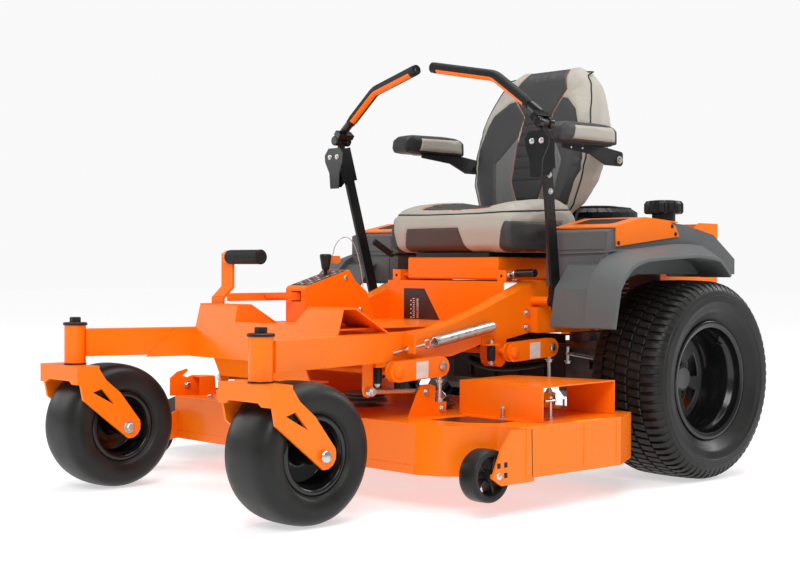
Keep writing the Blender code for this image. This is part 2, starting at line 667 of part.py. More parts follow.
# Controls -------------------------------------------------------------------------------
def lever_lower(name, side):
    """Lower lap-bar arm from the hinge boss to the barrel of the upper joint."""
    top = Vector(LEVER_JOINT)
    boss = disc("X", (0, *LEVER_PIVOT), 0.016, LEVER_FOOT_X - 0.017, LEVER_FOOT_X + 0.011, 14)
    lower = flat_bar((LEVER_FOOT_X, -0.360, 0.470), (0.405, -0.447, 0.870), (0, 1, 0), 0.034, 0.009)
    plate = flat_bar((0.404, -0.445, 0.855), (0.4130, -0.467, 0.956), (0, 1, 0), 0.060, 0.0105)
    neck = box((top.x - 0.005, top.x + 0.005), (top.y - 0.011, top.y + 0.011), (top.z - 0.035, top.z))
    barrel = disc("Y", tuple(top), 0.011, -0.0115, 0.0115, 12)
    return node(name, BLACK, (LEVER_FOOT_X, *LEVER_PIVOT), [boss, lower, plate, neck, barrel], (), side)


def lever_handle(name, side):
    """Upper lap-bar handle with its grip, folding out on the upper joint."""
    x, y, z = LEVER_JOINT
    tube = rod(fillet([(x - 0.0105, y - 0.001, z + 0.026), (0.246, -0.481, 1.119),
                       (0.029, -0.515, 1.160)], 0.06), 0.0155, 10)
    saddle = turn(box((x - 0.013, x + 0.013), (y - 0.030, y + 0.030), (z + 0.0135, z + 0.030)),
                  (x, y, z), "Y", -38)
    pieces = [saddle, tube]
    for low in (-0.030, 0.0128):
        pieces.append(disc("Y", (x, y, z), 0.0155, low, low + 0.0172, 12))
    return node(name, BLACK, (x, y, z), pieces, (), side)


def lift_pedal():
    """Foot pedal of the deck lift: a stepped flat arm with a round grip."""
    y, z = PEDAL_PIVOT
    hub = disc("X", (PEDAL_X, y, z), 0.009, -0.020, 0.020, 12)
    low = box((PEDAL_X - 0.025, PEDAL_X + 0.025), (y - 0.004, y + 0.004), (z - 0.006, z + 0.075))
    step_path = [(y + 0.004, z + 0.070), (y + 0.037, z + 0.100), (y + 0.037, z + 0.195)]
    high = prism("X", strip(step_path, 0.008), PEDAL_X - 0.0249, PEDAL_X + 0.0249)
    grip = disc("X", (PEDAL_X, y + 0.030, z + 0.184), 0.0180, 0.000, 0.150, 16)
    return node("lift_pedal", ORANGE, (PEDAL_X, y, z), [hub, low, high, grip])


def pedal_rod():
    """Flat push rod from the pedal into the console."""
    bar = flat_bar((-0.2320, PEDAL_PIVOT[0] + 0.009, 0.507), (-0.169, -0.832, 0.509), (0, 0, 1), 0.022,
                   0.006)
    return node("pedal_rod", ORANGE, (-0.2, -0.94, 0.503), [bar])


# Seat -----------------------------------------------------------------------------------
def seat_base():
    """Orange seat box with the hinge pins at its front corners."""
    body = soften(box((-0.185, 0.185), (-0.402, -0.10), (0.557, 0.6215)), 0.004)
    pieces = [body]
    for side in (1, -1):
        low, high = sorted((side * 0.18, side * 0.221))
        pieces.append(disc("X", (0, *SEAT_HINGE), 0.0060, low, high, 10))
    return node("seat_base", ORANGE, (0, *SEAT_HINGE), pieces)


def seat_slide():
    """Sliding plate under the cushion that rises behind it to carry the backrest."""
    path = [(-0.40, 0.6345), (-0.082, 0.6345), (-0.030, 0.735), (0.028, 0.86)]
    return node("seat_slide", BLACK, (0, -0.25, 0.628), [sheet("X", path, -0.012, -0.15, 0.15)])


def seat_cushion():
    outline = [(-0.430, 0.640), (-0.436, 0.700), (-0.420, 0.748), (-0.380, 0.765), (-0.250, 0.788),
               (-0.165, 0.785)]
    outline += [(-0.118, 0.745), (-0.100, 0.700), (-0.100, 0.640)]
    body = soften(prism("X", outline, -SEAT_HALF, SEAT_HALF), 0.016, 2)
    return node("seat_cushion", VINYL, (0, -0.27, 0.64), [body])


def seat_back():
    """Backrest: its side outline carried across and trimmed to its front outline."""
    profile = [(-0.096, 0.762), (-0.085, 0.85), (-0.055, 0.98), (-0.030, 1.08), (0.0, 1.17),
               (0.030, 1.210)]
    profile += [(0.060, 1.216), (0.080, 1.195), (0.077, 1.12), (0.065, 1.00), (0.030, 0.88),
                (-0.020, 0.775), (-0.045, 0.738)]
    body = prism("X", profile, -0.27, 0.27)
    front = [(0.19, 0.72), (0.245, 0.82), (0.255, 0.95), (0.235, 1.08), (0.190, 1.170), (0.12, 1.22)]
    outline = front + [(-x, z) for x, z in reversed(front)]
    trim = prism("Y", outline, -0.2, 0.2)
    boolean(body, trim, "INTERSECT")
    return node("seat_back", VINYL, (0, -0.03, 0.75), [soften(body, 0.016, 2)])


def armrest(name, side):
    """Armrest pad on its flip-up bracket."""
    y, z = ARMREST_PIVOT
    pad = soften(box((ARMREST_X - 0.0325, ARMREST_X + 0.0325), (-0.325, -0.065), (0.948, 1.003)),
                 0.012, 2)
    outline = [(-0.24, 0.950), (-0.24, 0.937), (-0.12, 0.926), (-0.02, 0.893), (0.028, 0.893),
               (0.032, 0.935), (-0.07, 0.950)]
    bracket = prism("X", outline, 0.283, 0.291)
    stub = disc("X", (0, y, z), 0.012, 0.2600, 0.285, 12)
    return node(name, VINYL, (ARMREST_X, y, z), [pad, bracket, stub], (), side)


def seat_handle():
    """Fore-and-aft seat adjusting handle under the cushion's right front."""
    path = [(-0.158, -0.345, 0.6285), (-0.235, -0.372, 0.6285), (-0.268, -0.395, 0.633),
            (-0.285, -0.445, 0.668)]
    return node("seat_handle", BLACK, path[0], [rod(path, 0.0058, 8)])


# Bodywork -------------------------------------------------------------------------------
def fender(name, side):
    """Moulded fender: a flared arch over the tyre under a hollow upper box."""
    arch_path = [(-0.425, 0.432), (-0.405, 0.535), (-0.350, 0.598), (-0.280, 0.618), (-0.050, 0.630)]
    arch_path += [(0.050, 0.620), (0.105, 0.572)]
    arch = sheet("X", arch_path, -0.006, 0.400, FENDER_OUT)
    low = 0.575
    shell = [(-0.330, 0.540), (-0.20, low), (0.27, low), (0.27, 0.620), (0.16, 0.690), (0.02, 0.716),
             (-0.17, 0.728)]
    shell += [(-0.300, 0.700), (-0.330, 0.690)]
    outer = prism("X", shell, FENDER_IN, FENDER_SIDE)
    hollow = [(-0.324, 0.50), (0.264, 0.50), (0.264, 0.6165), (0.157, 0.684), (0.02, 0.710),
              (-0.17, 0.722)]
    hollow += [(-0.298, 0.694), (-0.324, 0.686)]
    inner = prism("X", hollow, FENDER_IN + 0.006, FENDER_SIDE - 0.006)
    boolean(outer, inner, "DIFFERENCE")
    well = disc("Z", (*CUP, 0), CUP_RADIUS + 0.003, CUP_FLOOR - 0.003, 0.721, 16)
    space = disc("Z", (*CUP, 0), CUP_RADIUS, CUP_FLOOR, 0.76, 16)
    return node(name, GREY, (FENDER_SIDE, 0, low), [outer, arch, well], [space], side)


def fender_console(name, side):
    """Orange tray with a cup hole on the fender and the plate down its side."""
    tray_path = [(-0.305, 0.7002), (-0.17, 0.7290), (-0.02, 0.7197)]
    tray = sheet("X", tray_path, 0.004, FENDER_IN + 0.004, FENDER_SIDE + 0.0045)
    outline = [(-0.295, 0.650), (-0.012, 0.682), (-0.030, 0.712), (-0.06, 0.7235), (-0.165, 0.7315),
               (-0.298, 0.7035)]
    plate = prism("X", outline, FENDER_SIDE + GAP, FENDER_SIDE + 0.0045)
    cup = disc("Z", (*CUP, 0), CUP_RADIUS, 0.70, 0.76, 16)
    return node(name, ORANGE, (FENDER_SIDE, -0.15, 0.70), [tray, plate], [cup], side)


def fuel_cap():
    profile = [(0, 0.7135), (0.034, 0.7135), (0.034, 0.750), (0.054, 0.753), (0.057, 0.775),
               (0.046, 0.790), (0, 0.792)]
    return node("fuel_cap", BLACK, (*FUEL_CAP, 0.72), [turned("Z", (*FUEL_CAP, 0), profile, 20)])


# Cutting deck ---------------------------------------------------------------------------
def deck_shell():
    """Deck top and skirts with the discharge opening, brackets and hanger rods."""
    outline = [(DECK_HALF, -0.82), (0.600, -0.845), (0.520, -0.948), (0.450, DECK_FRONT),
               (-0.570, DECK_FRONT)]
    outline += [(-0.600, -0.930), (-DECK_HALF, -0.885), (-DECK_HALF, -0.46), (-0.60, DECK_REAR)]
    outline += [(0.60, DECK_REAR), (DECK_HALF, -0.46)]
    shell = prism("Z", outline, DECK_LOW, DECK_TOP)
    middle = Vector((0.0, -0.66))
    inset = []
    for place in outline:
        away = Vector(place) - middle
        inset.append((place[0] - math.copysign(SHEET, away.x), place[1] - math.copysign(SHEET, away.y)))
    boolean(shell, prism("Z", inset, DECK_LOW - 0.01, DECK_TOP - SHEET), "DIFFERENCE")
    left_guard = [(-0.790, 0.205), (-0.790, 0.0785), (-0.905, 0.0785), (-0.937, 0.098),
                  (-0.905, 0.165), (-0.868, 0.207)]
    pieces = [shell, prism("X", left_guard, 0.6645, 0.6705)]
    pieces.append(disc("X", (0, *SCALP_LEFT[1:]), 0.006, 0.604, 0.667, 10))
    right_guard = [(-0.9725, 0.170), (-0.9725, 0.0885), (-1.050, 0.0785), (-1.062, 0.10),
                   (-1.035, 0.15)]
    pieces.append(prism("X", right_guard, -0.562, -0.556))
    pieces.append(disc("X", (0, *SCALP_RIGHT[1:]), 0.006, -0.640, -0.559, 10))
    for side in (1, -1):
        for arm, top in ((FRONT_LIFT, 0.320), (REAR_LIFT, 0.356)):
            y = arm[0] + LIFT_ARM
            low, high = sorted((side * (HANGER_X - 0.0115), side * (HANGER_X + 0.0115)))
            pieces.append(box((low, high), (y - 0.0175, y + 0.0145),
                              (DECK_TOP - 0.003, DECK_TOP + 0.035)))
            pieces.append(disc("Z", (side * HANGER_X, y, 0), 0.0048, DECK_TOP + 0.03, top, 8))
        low, high = sorted((side * 0.3190, side * 0.3245))
        lug = [(-0.878, DECK_TOP - 0.003), (-0.790, DECK_TOP - 0.003), (-0.782, 0.285),
               (-0.800, 0.291), (-0.835, 0.291)]
        pieces.append(prism("X", lug, low, high))
    cuts = [disc("Z", (*place, 0), 0.0305, 0.19, 0.22, 16) for place in SPINDLES.values()]
    cuts.append(box((-0.70, -0.64), (-0.79, -0.50), (0.06, 0.196)))
    cuts.append(disc("Z", (*IDLER_PIVOT, 0), 0.0065, 0.19, 0.22, 8))
    return node("deck_shell", ORANGE, (0, -0.66, DECK_TOP), pieces, cuts)


def belt_cover(name, side):
    """Folded cover over a belt pulley, open towards the side of the deck."""
    low, high = DECK_TOP + 0.0015, 0.298
    outer = prism("Z", [(0.335, -0.705), (0.630, -0.715), (0.600, -0.395), (0.300, -0.470)], low, high)
    inner = prism("Z", [(0.338, -0.7018), (0.70, -0.7132), (0.70, -0.374), (0.303, -0.4665)],
                  low - 0.01, high - 0.003)
    return node(name, ORANGE, (0.46, -0.57, low), [outer], [inner], side)


def spindle(label, place):
    """Blade spindle with its bearing cartridge and belt pulley."""
    profile = [(0, 0.084), (0.018, 0.084), (0.018, 0.0942), (0.012, 0.0942), (0.012, 0.101),
               (0.020, 0.101)]
    profile += [(0.020, 0.115), (0.0298, 0.122), (0.0298, 0.2185), (0.062, 0.2215), (0.062, 0.2255),
                (0.052, 0.232)]
    profile += [(0.052, 0.236), (0.062, 0.2425), (0.062, 0.2465), (0.012, 0.2485), (0.012, 0.262),
                (0, 0.262)]
    return node("spindle_" + label, CAST, (*place, 0.2), [turned("Z", (*place, 0), profile, 16)])


def blade(label, place):
    """Cutting blade with raised trailing corners."""
    half = 0.0318
    flat = box((-BLADE_RADIUS + 0.002, BLADE_RADIUS - 0.002), (-half, half), (0.0946, 0.1006))
    pieces = [flat]
    for sign in (1, -1):
        wing_path = [(sign * (half - 0.012), 0.0952), (sign * (half + 0.004), 0.112)]
        low, high = sorted((sign * (BLADE_RADIUS - 0.065), sign * (BLADE_RADIUS - 0.004)))
        pieces.append(prism("X", strip(wing_path, 0.004), low, high))
    bar = pieces[0]
    for other in pieces[1:]:
        boolean(bar, other, "UNION")
    bar.data.transform(Matrix.Translation((*place, 0)))
    bore = disc("Z", (*place, 0), 0.0125, 0.08, 0.12, 12)
    return node("blade_" + label, STEEL, (*place, BLADE_Z), [bar], [bore])


def idler_arm():
    """Belt tensioner: pivoted arm that carries its pulley."""
    arm = stadium("Z", [IDLER_PIVOT, IDLER_WHEEL], 0.018, 0.2135, 0.2195)
    post = disc("Z", (*IDLER_PIVOT, 0), 0.006, 0.20, 0.228, 10)
    profile = [(0, 0.218), (0.012, 0.218), (0.012, 0.2225), (0.042, 0.2225), (0.042, 0.2265),
               (0.034, 0.231)]
    profile += [(0.034, 0.238), (0.042, 0.2425), (0.042, 0.2465), (0.012, 0.2465), (0.012, 0.254),
                (0, 0.254)]
    wheel = turned("Z", (*IDLER_WHEEL, 0), profile, 16)
    return node("idler_arm", CAST, (*IDLER_PIVOT, 0.2135), [arm, post, wheel])


def idler_spring():
    """Coil spring of the belt tensioner, as its outer cylinder."""
    return node("idler_spring", STEEL, (0.27, -0.742, 0.258),
                [disc("X", (0, -0.742, 0.258), 0.0115, 0.232, 0.312, 12)])


def discharge_chute():
    """Hinged side-discharge chute, lowered."""
    path = [(-0.678, 0.2075), (-0.705, 0.2125), (-0.955, 0.130), (-0.972, 0.095)]
    roof = prism("Y", strip(path, 0.004), -0.83, -0.46)
    front = [(-0.71, 0.208), (-0.71, 0.150), (-0.950, 0.096), (-0.971, 0.096), (-0.954, 0.1315)]
    pieces = [roof, prism("Y", front, -0.8298, -0.8258), prism("Y", front, -0.4642, -0.4602)]
    return node("discharge_chute", BLACK, (-0.676, -0.64, 0.2095), pieces)


def scalp_wheel(name, place, low, high):
    """Anti-scalp wheel with rounded shoulders."""
    radius = 0.0635
    x, y, z = place
    width = high - low
    half = [(0.0064, -width / 2), (0.022, -width / 2), (0.030, -width / 2 + 0.010),
            (0.050, -width / 2 + 0.006)]
    half += [(radius - 0.004, -width / 2 + 0.010), (radius, -width / 2 + 0.020)]
    profile = half + [(r, -reach) for r, reach in reversed(half)]
    wheel = turned("X", ((low + high) / 2, y, z), profile, 20)
    return node(name, RUBBER, ((low + high) / 2, y, z), [wheel])


# Deck lift ------------------------------------------------------------------------------
def lift_shaft(name, centre, radius):
    """Cross shaft with a pair of lift links at each end."""
    y, z = centre
    shaft = disc("X", (0, y, z), radius, -0.3425, 0.3425, 12)
    pieces = [shaft]
    for side in (1, -1):
        for low, high in ((0.3188, 0.3243), (0.3357, 0.3412)):
            a, b = sorted((side * low, side * high))
            pieces.append(stadium("X", [(y, z), (y + LIFT_ARM, z + LINK_RISE)], 0.026, a, b))
        a, b = sorted((side * 0.3160, side * 0.3440))
        pieces.append(disc("X", (0, y + LIFT_ARM, z + LINK_RISE), 0.0075, a, b, 10))
    return node(name, ORANGE, (0, y, z), pieces)


def drag_link(name, side):
    """Link that holds the deck fore and aft."""
    y, z = DRAG_PIVOT
    end_y, end_z = y + DRAG_LENGTH, z - 0.008
    x = 0.3105
    pieces = [rod([(x, y, z), (x, end_y, end_z)], 0.0062, 8)]
    for place in ((0, y, z), (0, end_y, end_z)):
        pieces.append(disc("X", place, 0.0115, x - 0.007, x + 0.007, 12))
    return node(name, STEEL, (x, y, z), pieces, (), side)


def assist_spring(name, side):
    """Lift-assist spring beside the rail, as its outer cylinder with its two hooks."""
    front = Vector((0.3035, -0.767, 0.397))
    back = Vector((0.3035, -0.548, 0.4325))
    along = (back - front).normalized()
    coil = rod([tuple(front), tuple(back)], 0.0145, 14)
    hooks = rod([tuple(front - along * 0.085), tuple(back + along * 0.022)], 0.0035, 6)
    return node(name, STEEL, tuple(front), [coil, hooks], (), side)


def stand_on_origin():
    """Move everything so that the origin is under the middle of the whole box."""
    bpy.context.view_layer.update()
    corners = []
    for made in bpy.data.objects:
        corners += [made.matrix_world @ Vector(corner) for corner in made.bound_box]
    low = [min(corner[index] for corner in corners) for index in range(3)]
    high = [max(corner[index] for corner in corners) for index in range(3)]
    shift = Vector(((low[0] + high[0]) / 2, (low[1] + high[1]) / 2, low[2]))
    for made in bpy.data.objects:
        made.location -= shift


def main():
    for old in list(bpy.data.objects):
        bpy.data.objects.remove(old)
    for label, side in SIDES:
        frame_rail("frame_rail_" + label, side)
        hydro_drive("hydro_drive_" + label, side)
        rear_rim("rear_rim_" + label, side)
        rear_tyre("rear_tyre_" + label, side)
        caster_fork("caster_fork_" + label, side)
        caster_rim("caster_rim_" + label, side)
        caster_tyre("caster_tyre_" + label, side)
        lever_lower("lever_lower_" + label, side)
        lever_handle("lever_handle_" + label, side)
        armrest("armrest_" + label, side)
        fender("fender_" + label, side)
        fender_console("fender_console_" + label, side)
        belt_cover("belt_cover_" + label, side)
        drag_link("drag_link_" + label, side)
        assist_spring("assist_spring_" + label, side)
    for label, place in SPINDLES.items():
        spindle(label, place)
        blade(label, place)
    foot_platform()
    tower_panel()
    height_console()
    height_pin()
    lanyard_wire()
    rear_frame()
    engine_block()
    crankshaft()
    lift_pedal()
    pedal_rod()
    seat_base()
    seat_slide()
    seat_cushion()
    seat_back()
    seat_handle()
    fuel_cap()
    deck_shell()
    idler_arm()
    idler_spring()
    discharge_chute()
    scalp_wheel("scalp_wheel_left", SCALP_LEFT, 0.607, 0.661)
    scalp_wheel("scalp_wheel_right", SCALP_RIGHT, -0.633, -0.579)
    lift_shaft("front_lift_shaft", FRONT_LIFT, 0.0100)
    lift_shaft("rear_lift_shaft", REAR_LIFT, 0.0085)
    stand_on_origin()


main()
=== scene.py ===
"""Looks of the zero turn mower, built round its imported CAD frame.

Pieces are laid out in metres about the rear axle (y = 0) and the middle plane (x = 0), with +X to
the operator's left and -Y forward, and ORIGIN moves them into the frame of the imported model.
"""

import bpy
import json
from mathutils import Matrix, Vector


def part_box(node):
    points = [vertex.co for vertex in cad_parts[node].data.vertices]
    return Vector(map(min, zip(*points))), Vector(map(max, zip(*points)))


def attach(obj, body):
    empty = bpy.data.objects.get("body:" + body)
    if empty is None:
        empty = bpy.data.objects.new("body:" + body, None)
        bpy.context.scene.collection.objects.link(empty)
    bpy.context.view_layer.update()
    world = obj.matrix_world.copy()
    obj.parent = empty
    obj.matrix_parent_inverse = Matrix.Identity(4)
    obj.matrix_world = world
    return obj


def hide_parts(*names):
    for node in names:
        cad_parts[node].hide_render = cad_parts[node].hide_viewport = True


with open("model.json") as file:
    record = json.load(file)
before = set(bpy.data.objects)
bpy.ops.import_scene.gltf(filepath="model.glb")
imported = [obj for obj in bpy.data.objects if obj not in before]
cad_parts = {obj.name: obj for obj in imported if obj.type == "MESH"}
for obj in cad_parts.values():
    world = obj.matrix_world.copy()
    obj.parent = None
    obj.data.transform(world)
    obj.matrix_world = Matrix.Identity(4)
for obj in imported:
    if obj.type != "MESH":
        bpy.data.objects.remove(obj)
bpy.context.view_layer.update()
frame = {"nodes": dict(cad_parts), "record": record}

import json
import math

import bmesh
import bpy
import numpy
from mathutils import Matrix, Vector
from mathutils.bvhtree import BVHTree

TYRE_BOXES = [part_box("rear_tyre_left"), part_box("rear_tyre_right")]
ORIGIN = Vector(((TYRE_BOXES[0][1][0] + TYRE_BOXES[1][0][0]) / 2,
    (TYRE_BOXES[0][0][1] + TYRE_BOXES[0][1][1]) / 2, 0.0))
SIDES = (("left", 1), ("right", -1))
UP, DOWN = (0, 0, 1), (0, 0, -1)
OUT, IN = (1, 0, 0), (-1, 0, 0)

# Faces that small parts stand on, measured on the frame's left side
RAIL_FACE = 0.2876
LINK_FACE = 0.3412
SKIRT_FACE = 0.6705
DECK_TOP = 0.21
TOWER_FACE = -0.4342
ENGINE_Y = 0.27

# Camera ---------------------------------------------------------------------------------
CAMERA_AT = (2.9702, -3.3931, 0.5902)
CAMERA_TURN = 46.82
CAMERA_DOWN = 0.85
CAMERA_ROLL = 0.27
LENS = 64.95


def make_camera():
    """The photograph's view: a lens of 65 mm, low and to the front left of the machine."""
    data = bpy.data.cameras.new("camera")
    data.lens = LENS
    data.sensor_width = 36.0
    camera = bpy.data.objects.new("camera", data)
    bpy.context.collection.objects.link(camera)
    turned_to = Matrix.Rotation(math.radians(CAMERA_TURN), 4, "Z")
    tipped = Matrix.Rotation(math.radians(90.0 - CAMERA_DOWN), 4, "X")
    rolled = Matrix.Rotation(math.radians(CAMERA_ROLL), 4, "Z")
    camera.matrix_world = Matrix.Translation(Vector(CAMERA_AT) + ORIGIN) @ turned_to @ tipped @ rolled
    bpy.context.scene.camera = camera


# Materials ------------------------------------------------------------------------------
def wired(tree, kind, **settings):
    """A shader node with some of its inputs set or linked, named with _ for a space."""
    made = tree.nodes.new("ShaderNode" + kind)
    for label, value in settings.items():
        socket = made.inputs[label.replace("_", " ")]
        if isinstance(value, bpy.types.NodeSocket):
            tree.links.new(value, socket)
        else:
            socket.default_value = value
    return made


def look(name, colour, roughness, metallic=0.0, coat=0.0, vary=0.06, patch=9.0, grain=0.0, depth=0.0,
        cells=False, rough_vary=0.06, panels=(), shine=0.5):
    """A procedural finish: patches of slightly different colour and gloss over a fine grain.

    Each panel is (name of a signed distance on the mesh, colour inside it)."""
    made = bpy.data.materials.new(name)
    made.use_nodes = True
    tree = made.node_tree
    shader = tree.nodes["Principled BSDF"]
    for label, value in (("Metallic", metallic), ("Coat Weight", coat), ("Coat Roughness", 0.08),
            ("Specular IOR Level", shine)):
        shader.inputs[label].default_value = value
    place = tree.nodes.new("ShaderNodeTexCoord").outputs["Object"]
    patches = wired(tree, "TexNoise", Scale=patch, Detail=6.0, Vector=place).outputs["Fac"]
    ramp = wired(tree, "ValToRGB", Fac=patches)
    for index, (position, factor) in enumerate(((0.32, 1.0 - vary), (0.68, 1.0 + vary))):
        ramp.color_ramp.elements[index].position = position
        ramp.color_ramp.elements[index].color = (*[min(1.0, c * factor) for c in colour], 1.0)
    shade = ramp.outputs["Color"]
    for attribute, inside in panels:
        distance = tree.nodes.new("ShaderNodeAttribute")
        distance.attribute_name = attribute
        edge = wired(tree, "MapRange", From_Min=-0.0004, From_Max=0.0004, Value=distance.outputs["Fac"])
        mix = tree.nodes.new("ShaderNodeMix")
        mix.data_type = "RGBA"
        tree.links.new(edge.outputs["Result"], mix.inputs["Factor"])
        tree.links.new(shade, mix.inputs[6])
        mix.inputs[7].default_value = (*inside, 1.0)
        shade = mix.outputs[2]
    tree.links.new(shade, shader.inputs["Base Color"])
    rough = wired(tree, "MapRange", From_Min=0.3, From_Max=0.7, To_Min=max(0.02, roughness - rough_vary),
        To_Max=min(1.0, roughness + rough_vary), Value=patches)
    tree.links.new(rough.outputs["Result"], shader.inputs["Roughness"])
    if grain:
        fine = wired(tree, "TexVoronoi" if cells else "TexNoise", Scale=grain, Vector=place)
        height = fine.outputs["Distance" if cells else "Fac"]
        bump = wired(tree, "Bump", Strength=1.0, Distance=depth, Height=height)
        tree.links.new(bump.outputs["Normal"], shader.inputs["Normal"])
    return made


ORANGE = look("orange_enamel", (0.98, 0.185, 0.003), 0.26, coat=0.06, vary=0.03, patch=3.0, grain=260.0,
    depth=0.00012, shine=0.24)
GLOSS_BLACK = look("gloss_black_enamel", (0.006, 0.006, 0.0065), 0.18, coat=0.1, shine=0.4, grain=200.0,
    depth=0.0001)
SATIN_BLACK = look("satin_black_powder_coat", (0.009, 0.009, 0.0095), 0.34, shine=0.3, vary=0.2,
    grain=900.0, depth=0.00015)
ZINC = look("bright_zinc", (0.56, 0.56, 0.54), 0.33, metallic=1.0, vary=0.12, patch=60.0, grain=500.0,
    depth=0.00008, rough_vary=0.1)
TREAD = look("tread_rubber", (0.0125, 0.012, 0.0112), 0.46, shine=0.3, vary=0.35, patch=26.0, grain=700.0,
    depth=0.0003, rough_vary=0.14)
SIDEWALL = look("sidewall_rubber", (0.0135, 0.0135, 0.013), 0.4, shine=0.26, vary=0.3, patch=11.0,
    grain=420.0, depth=0.0002, rough_vary=0.12)
PLASTIC = look("grey_moulded_plastic", (0.098, 0.103, 0.104), 0.44, shine=0.3, vary=0.08, patch=5.0,
    grain=1100.0, depth=0.0003, cells=True)
CASTING = look("cast_aluminium", (0.16, 0.16, 0.165), 0.5, metallic=0.7, vary=0.2, patch=30.0,
    grain=350.0, depth=0.0006)
ENGINE = look("black_engine_plastic", (0.011, 0.011, 0.012), 0.36, shine=0.3, vary=0.15, grain=800.0,
    depth=0.0002)
SOFT_BLACK = look("soft_black_rubber", (0.01, 0.01, 0.01), 0.5, shine=0.25, vary=0.25, grain=800.0,
    depth=0.0003)
HUB_GREY = look("satin_grey_enamel", (0.12, 0.12, 0.125), 0.36, metallic=0.5, vary=0.1, grain=500.0,
    depth=0.0001)
TAN = (0.4, 0.372, 0.32)
SEAM = (0.012, 0.011, 0.01)
CHARCOAL = (0.03, 0.03, 0.031)
VINYL = look("tan_vinyl", TAN, 0.48, vary=0.05, patch=6.0, grain=620.0, depth=0.0005, cells=True,
    panels=(("grey_panel", (0.115, 0.115, 0.113)), ("dark_panel", CHARCOAL),
    ("black_panel", (0.014, 0.014, 0.015)), ("brown_panel", (0.055, 0.027, 0.019)), ("seam_line", SEAM)))
STITCH = look("orange_thread", (0.8, 0.12, 0.015), 0.7, vary=0.15, patch=300.0, grain=2500.0,
    depth=0.0003)
LABEL = look("dark_label", (0.035, 0.012, 0.008), 0.35, vary=0.1, patch=12.0, grain=600.0, depth=0.00005)
PALE_INK = look("pale_ink", (0.75, 0.68, 0.62), 0.5, vary=0.1, patch=80.0)
RED_INK = look("red_ink", (0.55, 0.05, 0.02), 0.5, vary=0.1, patch=80.0)
YELLOW_INK = look("yellow_ink", (0.9, 0.62, 0.02), 0.5, vary=0.1, patch=80.0)


# Shapes: a shape is (points, faces) -----------------------------------------------------
def joined(*shapes):
    """Several shapes as one."""
    points = []
    faces = []
    for some_points, some_faces in shapes:
        start = len(points)
        points += some_points
        faces += [tuple(start + index for index in face) for face in some_faces]
    return points, faces


def moved(shape, matrix):
    """A shape carried by a matrix."""
    points, faces = shape
    return [matrix @ Vector(point) for point in points], faces


def aim(centre, direction):
    """The matrix that carries +Z to a direction and the origin to a centre."""
    turn = Vector(direction).to_track_quat("Z", "Y").to_matrix().to_4x4()
    return Matrix.Translation(centre) @ turn


# Where X, Y and Z are in (first of the outline, second of it, level), for each axis
PLANES = {"X": (2, 0, 1), "Y": (0, 2, 1), "Z": (0, 1, 2)}


def prism(axis, outline, low, high):
    """A closed outline in the plane across an axis, carried from low to high."""
    order = PLANES[axis]
    rings = []
    for level in (low, high):
        rings.append([Vector([(*place, level)[source] for source in order]) for place in outline])
    return skin(rings)


def box(x, y, z):
    """A block between two values of x, of y and of z."""
    return prism("Z", [(x[0], y[0]), (x[1], y[0]), (x[1], y[1]), (x[0], y[1])], *z)


def turned(profile, sides=48):
    """A profile of (radius, height) corners turned round +Z: a closed ring, or capped where the
    radius is zero at both ends."""
    points = []
    rings = []
    for radius, height in profile:
        count = sides if radius > 0.0 else 1
        rings.append([len(points) + index for index in range(count)])
        for index in range(count):
            angle = 2.0 * math.pi * index / sides
            points.append(Vector((radius * math.cos(angle), radius * math.sin(angle), height)))
    on_axis = profile[0][0] == 0.0 and profile[-1][0] == 0.0
    faces = []
    for index in range(len(rings) - 1 if on_axis else len(rings)):
        here, there = rings[index], rings[(index + 1) % len(rings)]
        for side in range(sides):
            after = (side + 1) % sides
            corners = (here[side % len(here)], here[after % len(here)], there[after % len(there)],
                there[side % len(there)])
            corners = tuple(dict.fromkeys(corners))
            if len(corners) > 2:
                faces.append(corners)
    return points, faces


def lathe(centre, direction, profile, sides=48):
    return moved(turned(profile, sides), aim(centre, direction))


def rod(start, end, radius, sides=20):
    """A round bar with slightly eased ends."""
    length = (Vector(end) - Vector(start)).length
    ease = min(radius * 0.15, length * 0.2)
    profile = [(0.0, 0.0), (radius - ease, 0.0), (radius, ease), (radius, length - ease),
        (radius - ease, length), (0.0, length)]
    return lathe(start, Vector(end) - Vector(start), profile, sides)


def smooth_path(guide, per_span=8):
    """Points on a smooth curve through the guide points."""
    guide = [Vector(place) for place in guide]
    guide = [guide[0] * 2 - guide[1], *guide, guide[-1] * 2 - guide[-2]]
    points = []
    for index in range(1, len(guide) - 2):
        a, b, c, d = guide[index - 1:index + 3]
        for step in range(per_span):
            t = step / per_span
            bent = b * 2 + (c - a) * t + (a * 2 - b * 5 + c * 4 - d) * t ** 2
            points.append((bent + (b * 3 - a - c * 3 + d) * t ** 3) / 2)
    return points + [guide[-2]]


def fillet(points, radius, steps=8):
    """A path with its inner corners rounded."""
    path = [Vector(place) for place in points]
    made = [path[0]]
    for before, corner, after in zip(path, path[1:], path[2:]):
        into = (before - corner).normalized()
        out = (after - corner).normalized()
        half = into.angle(out) / 2
        reach = min(radius / math.tan(half), (before - corner).length * 0.45,
            (after - corner).length * 0.45)
        start, end = corner + into * reach, corner + out * reach
        for step in range(steps + 1):
            t = step / steps
            made.append(start * (1 - t) ** 2 + corner * 2 * t * (1 - t) + end * t ** 2)
    return made + [path[-1]]


def skin(rings):
    """A closed surface through equal rings of points, with both ends capped."""
    count = len(rings[0])
    points = [point for ring in rings for point in ring]
    faces = [tuple(range(count)), tuple(range(len(points) - count, len(points)))]
    for start in range(0, len(points) - count, count):
        for corner in range(count):
            after = (corner + 1) % count
            faces.append((start + corner, start + after, start + count + after, start + count + corner))
    return points, faces


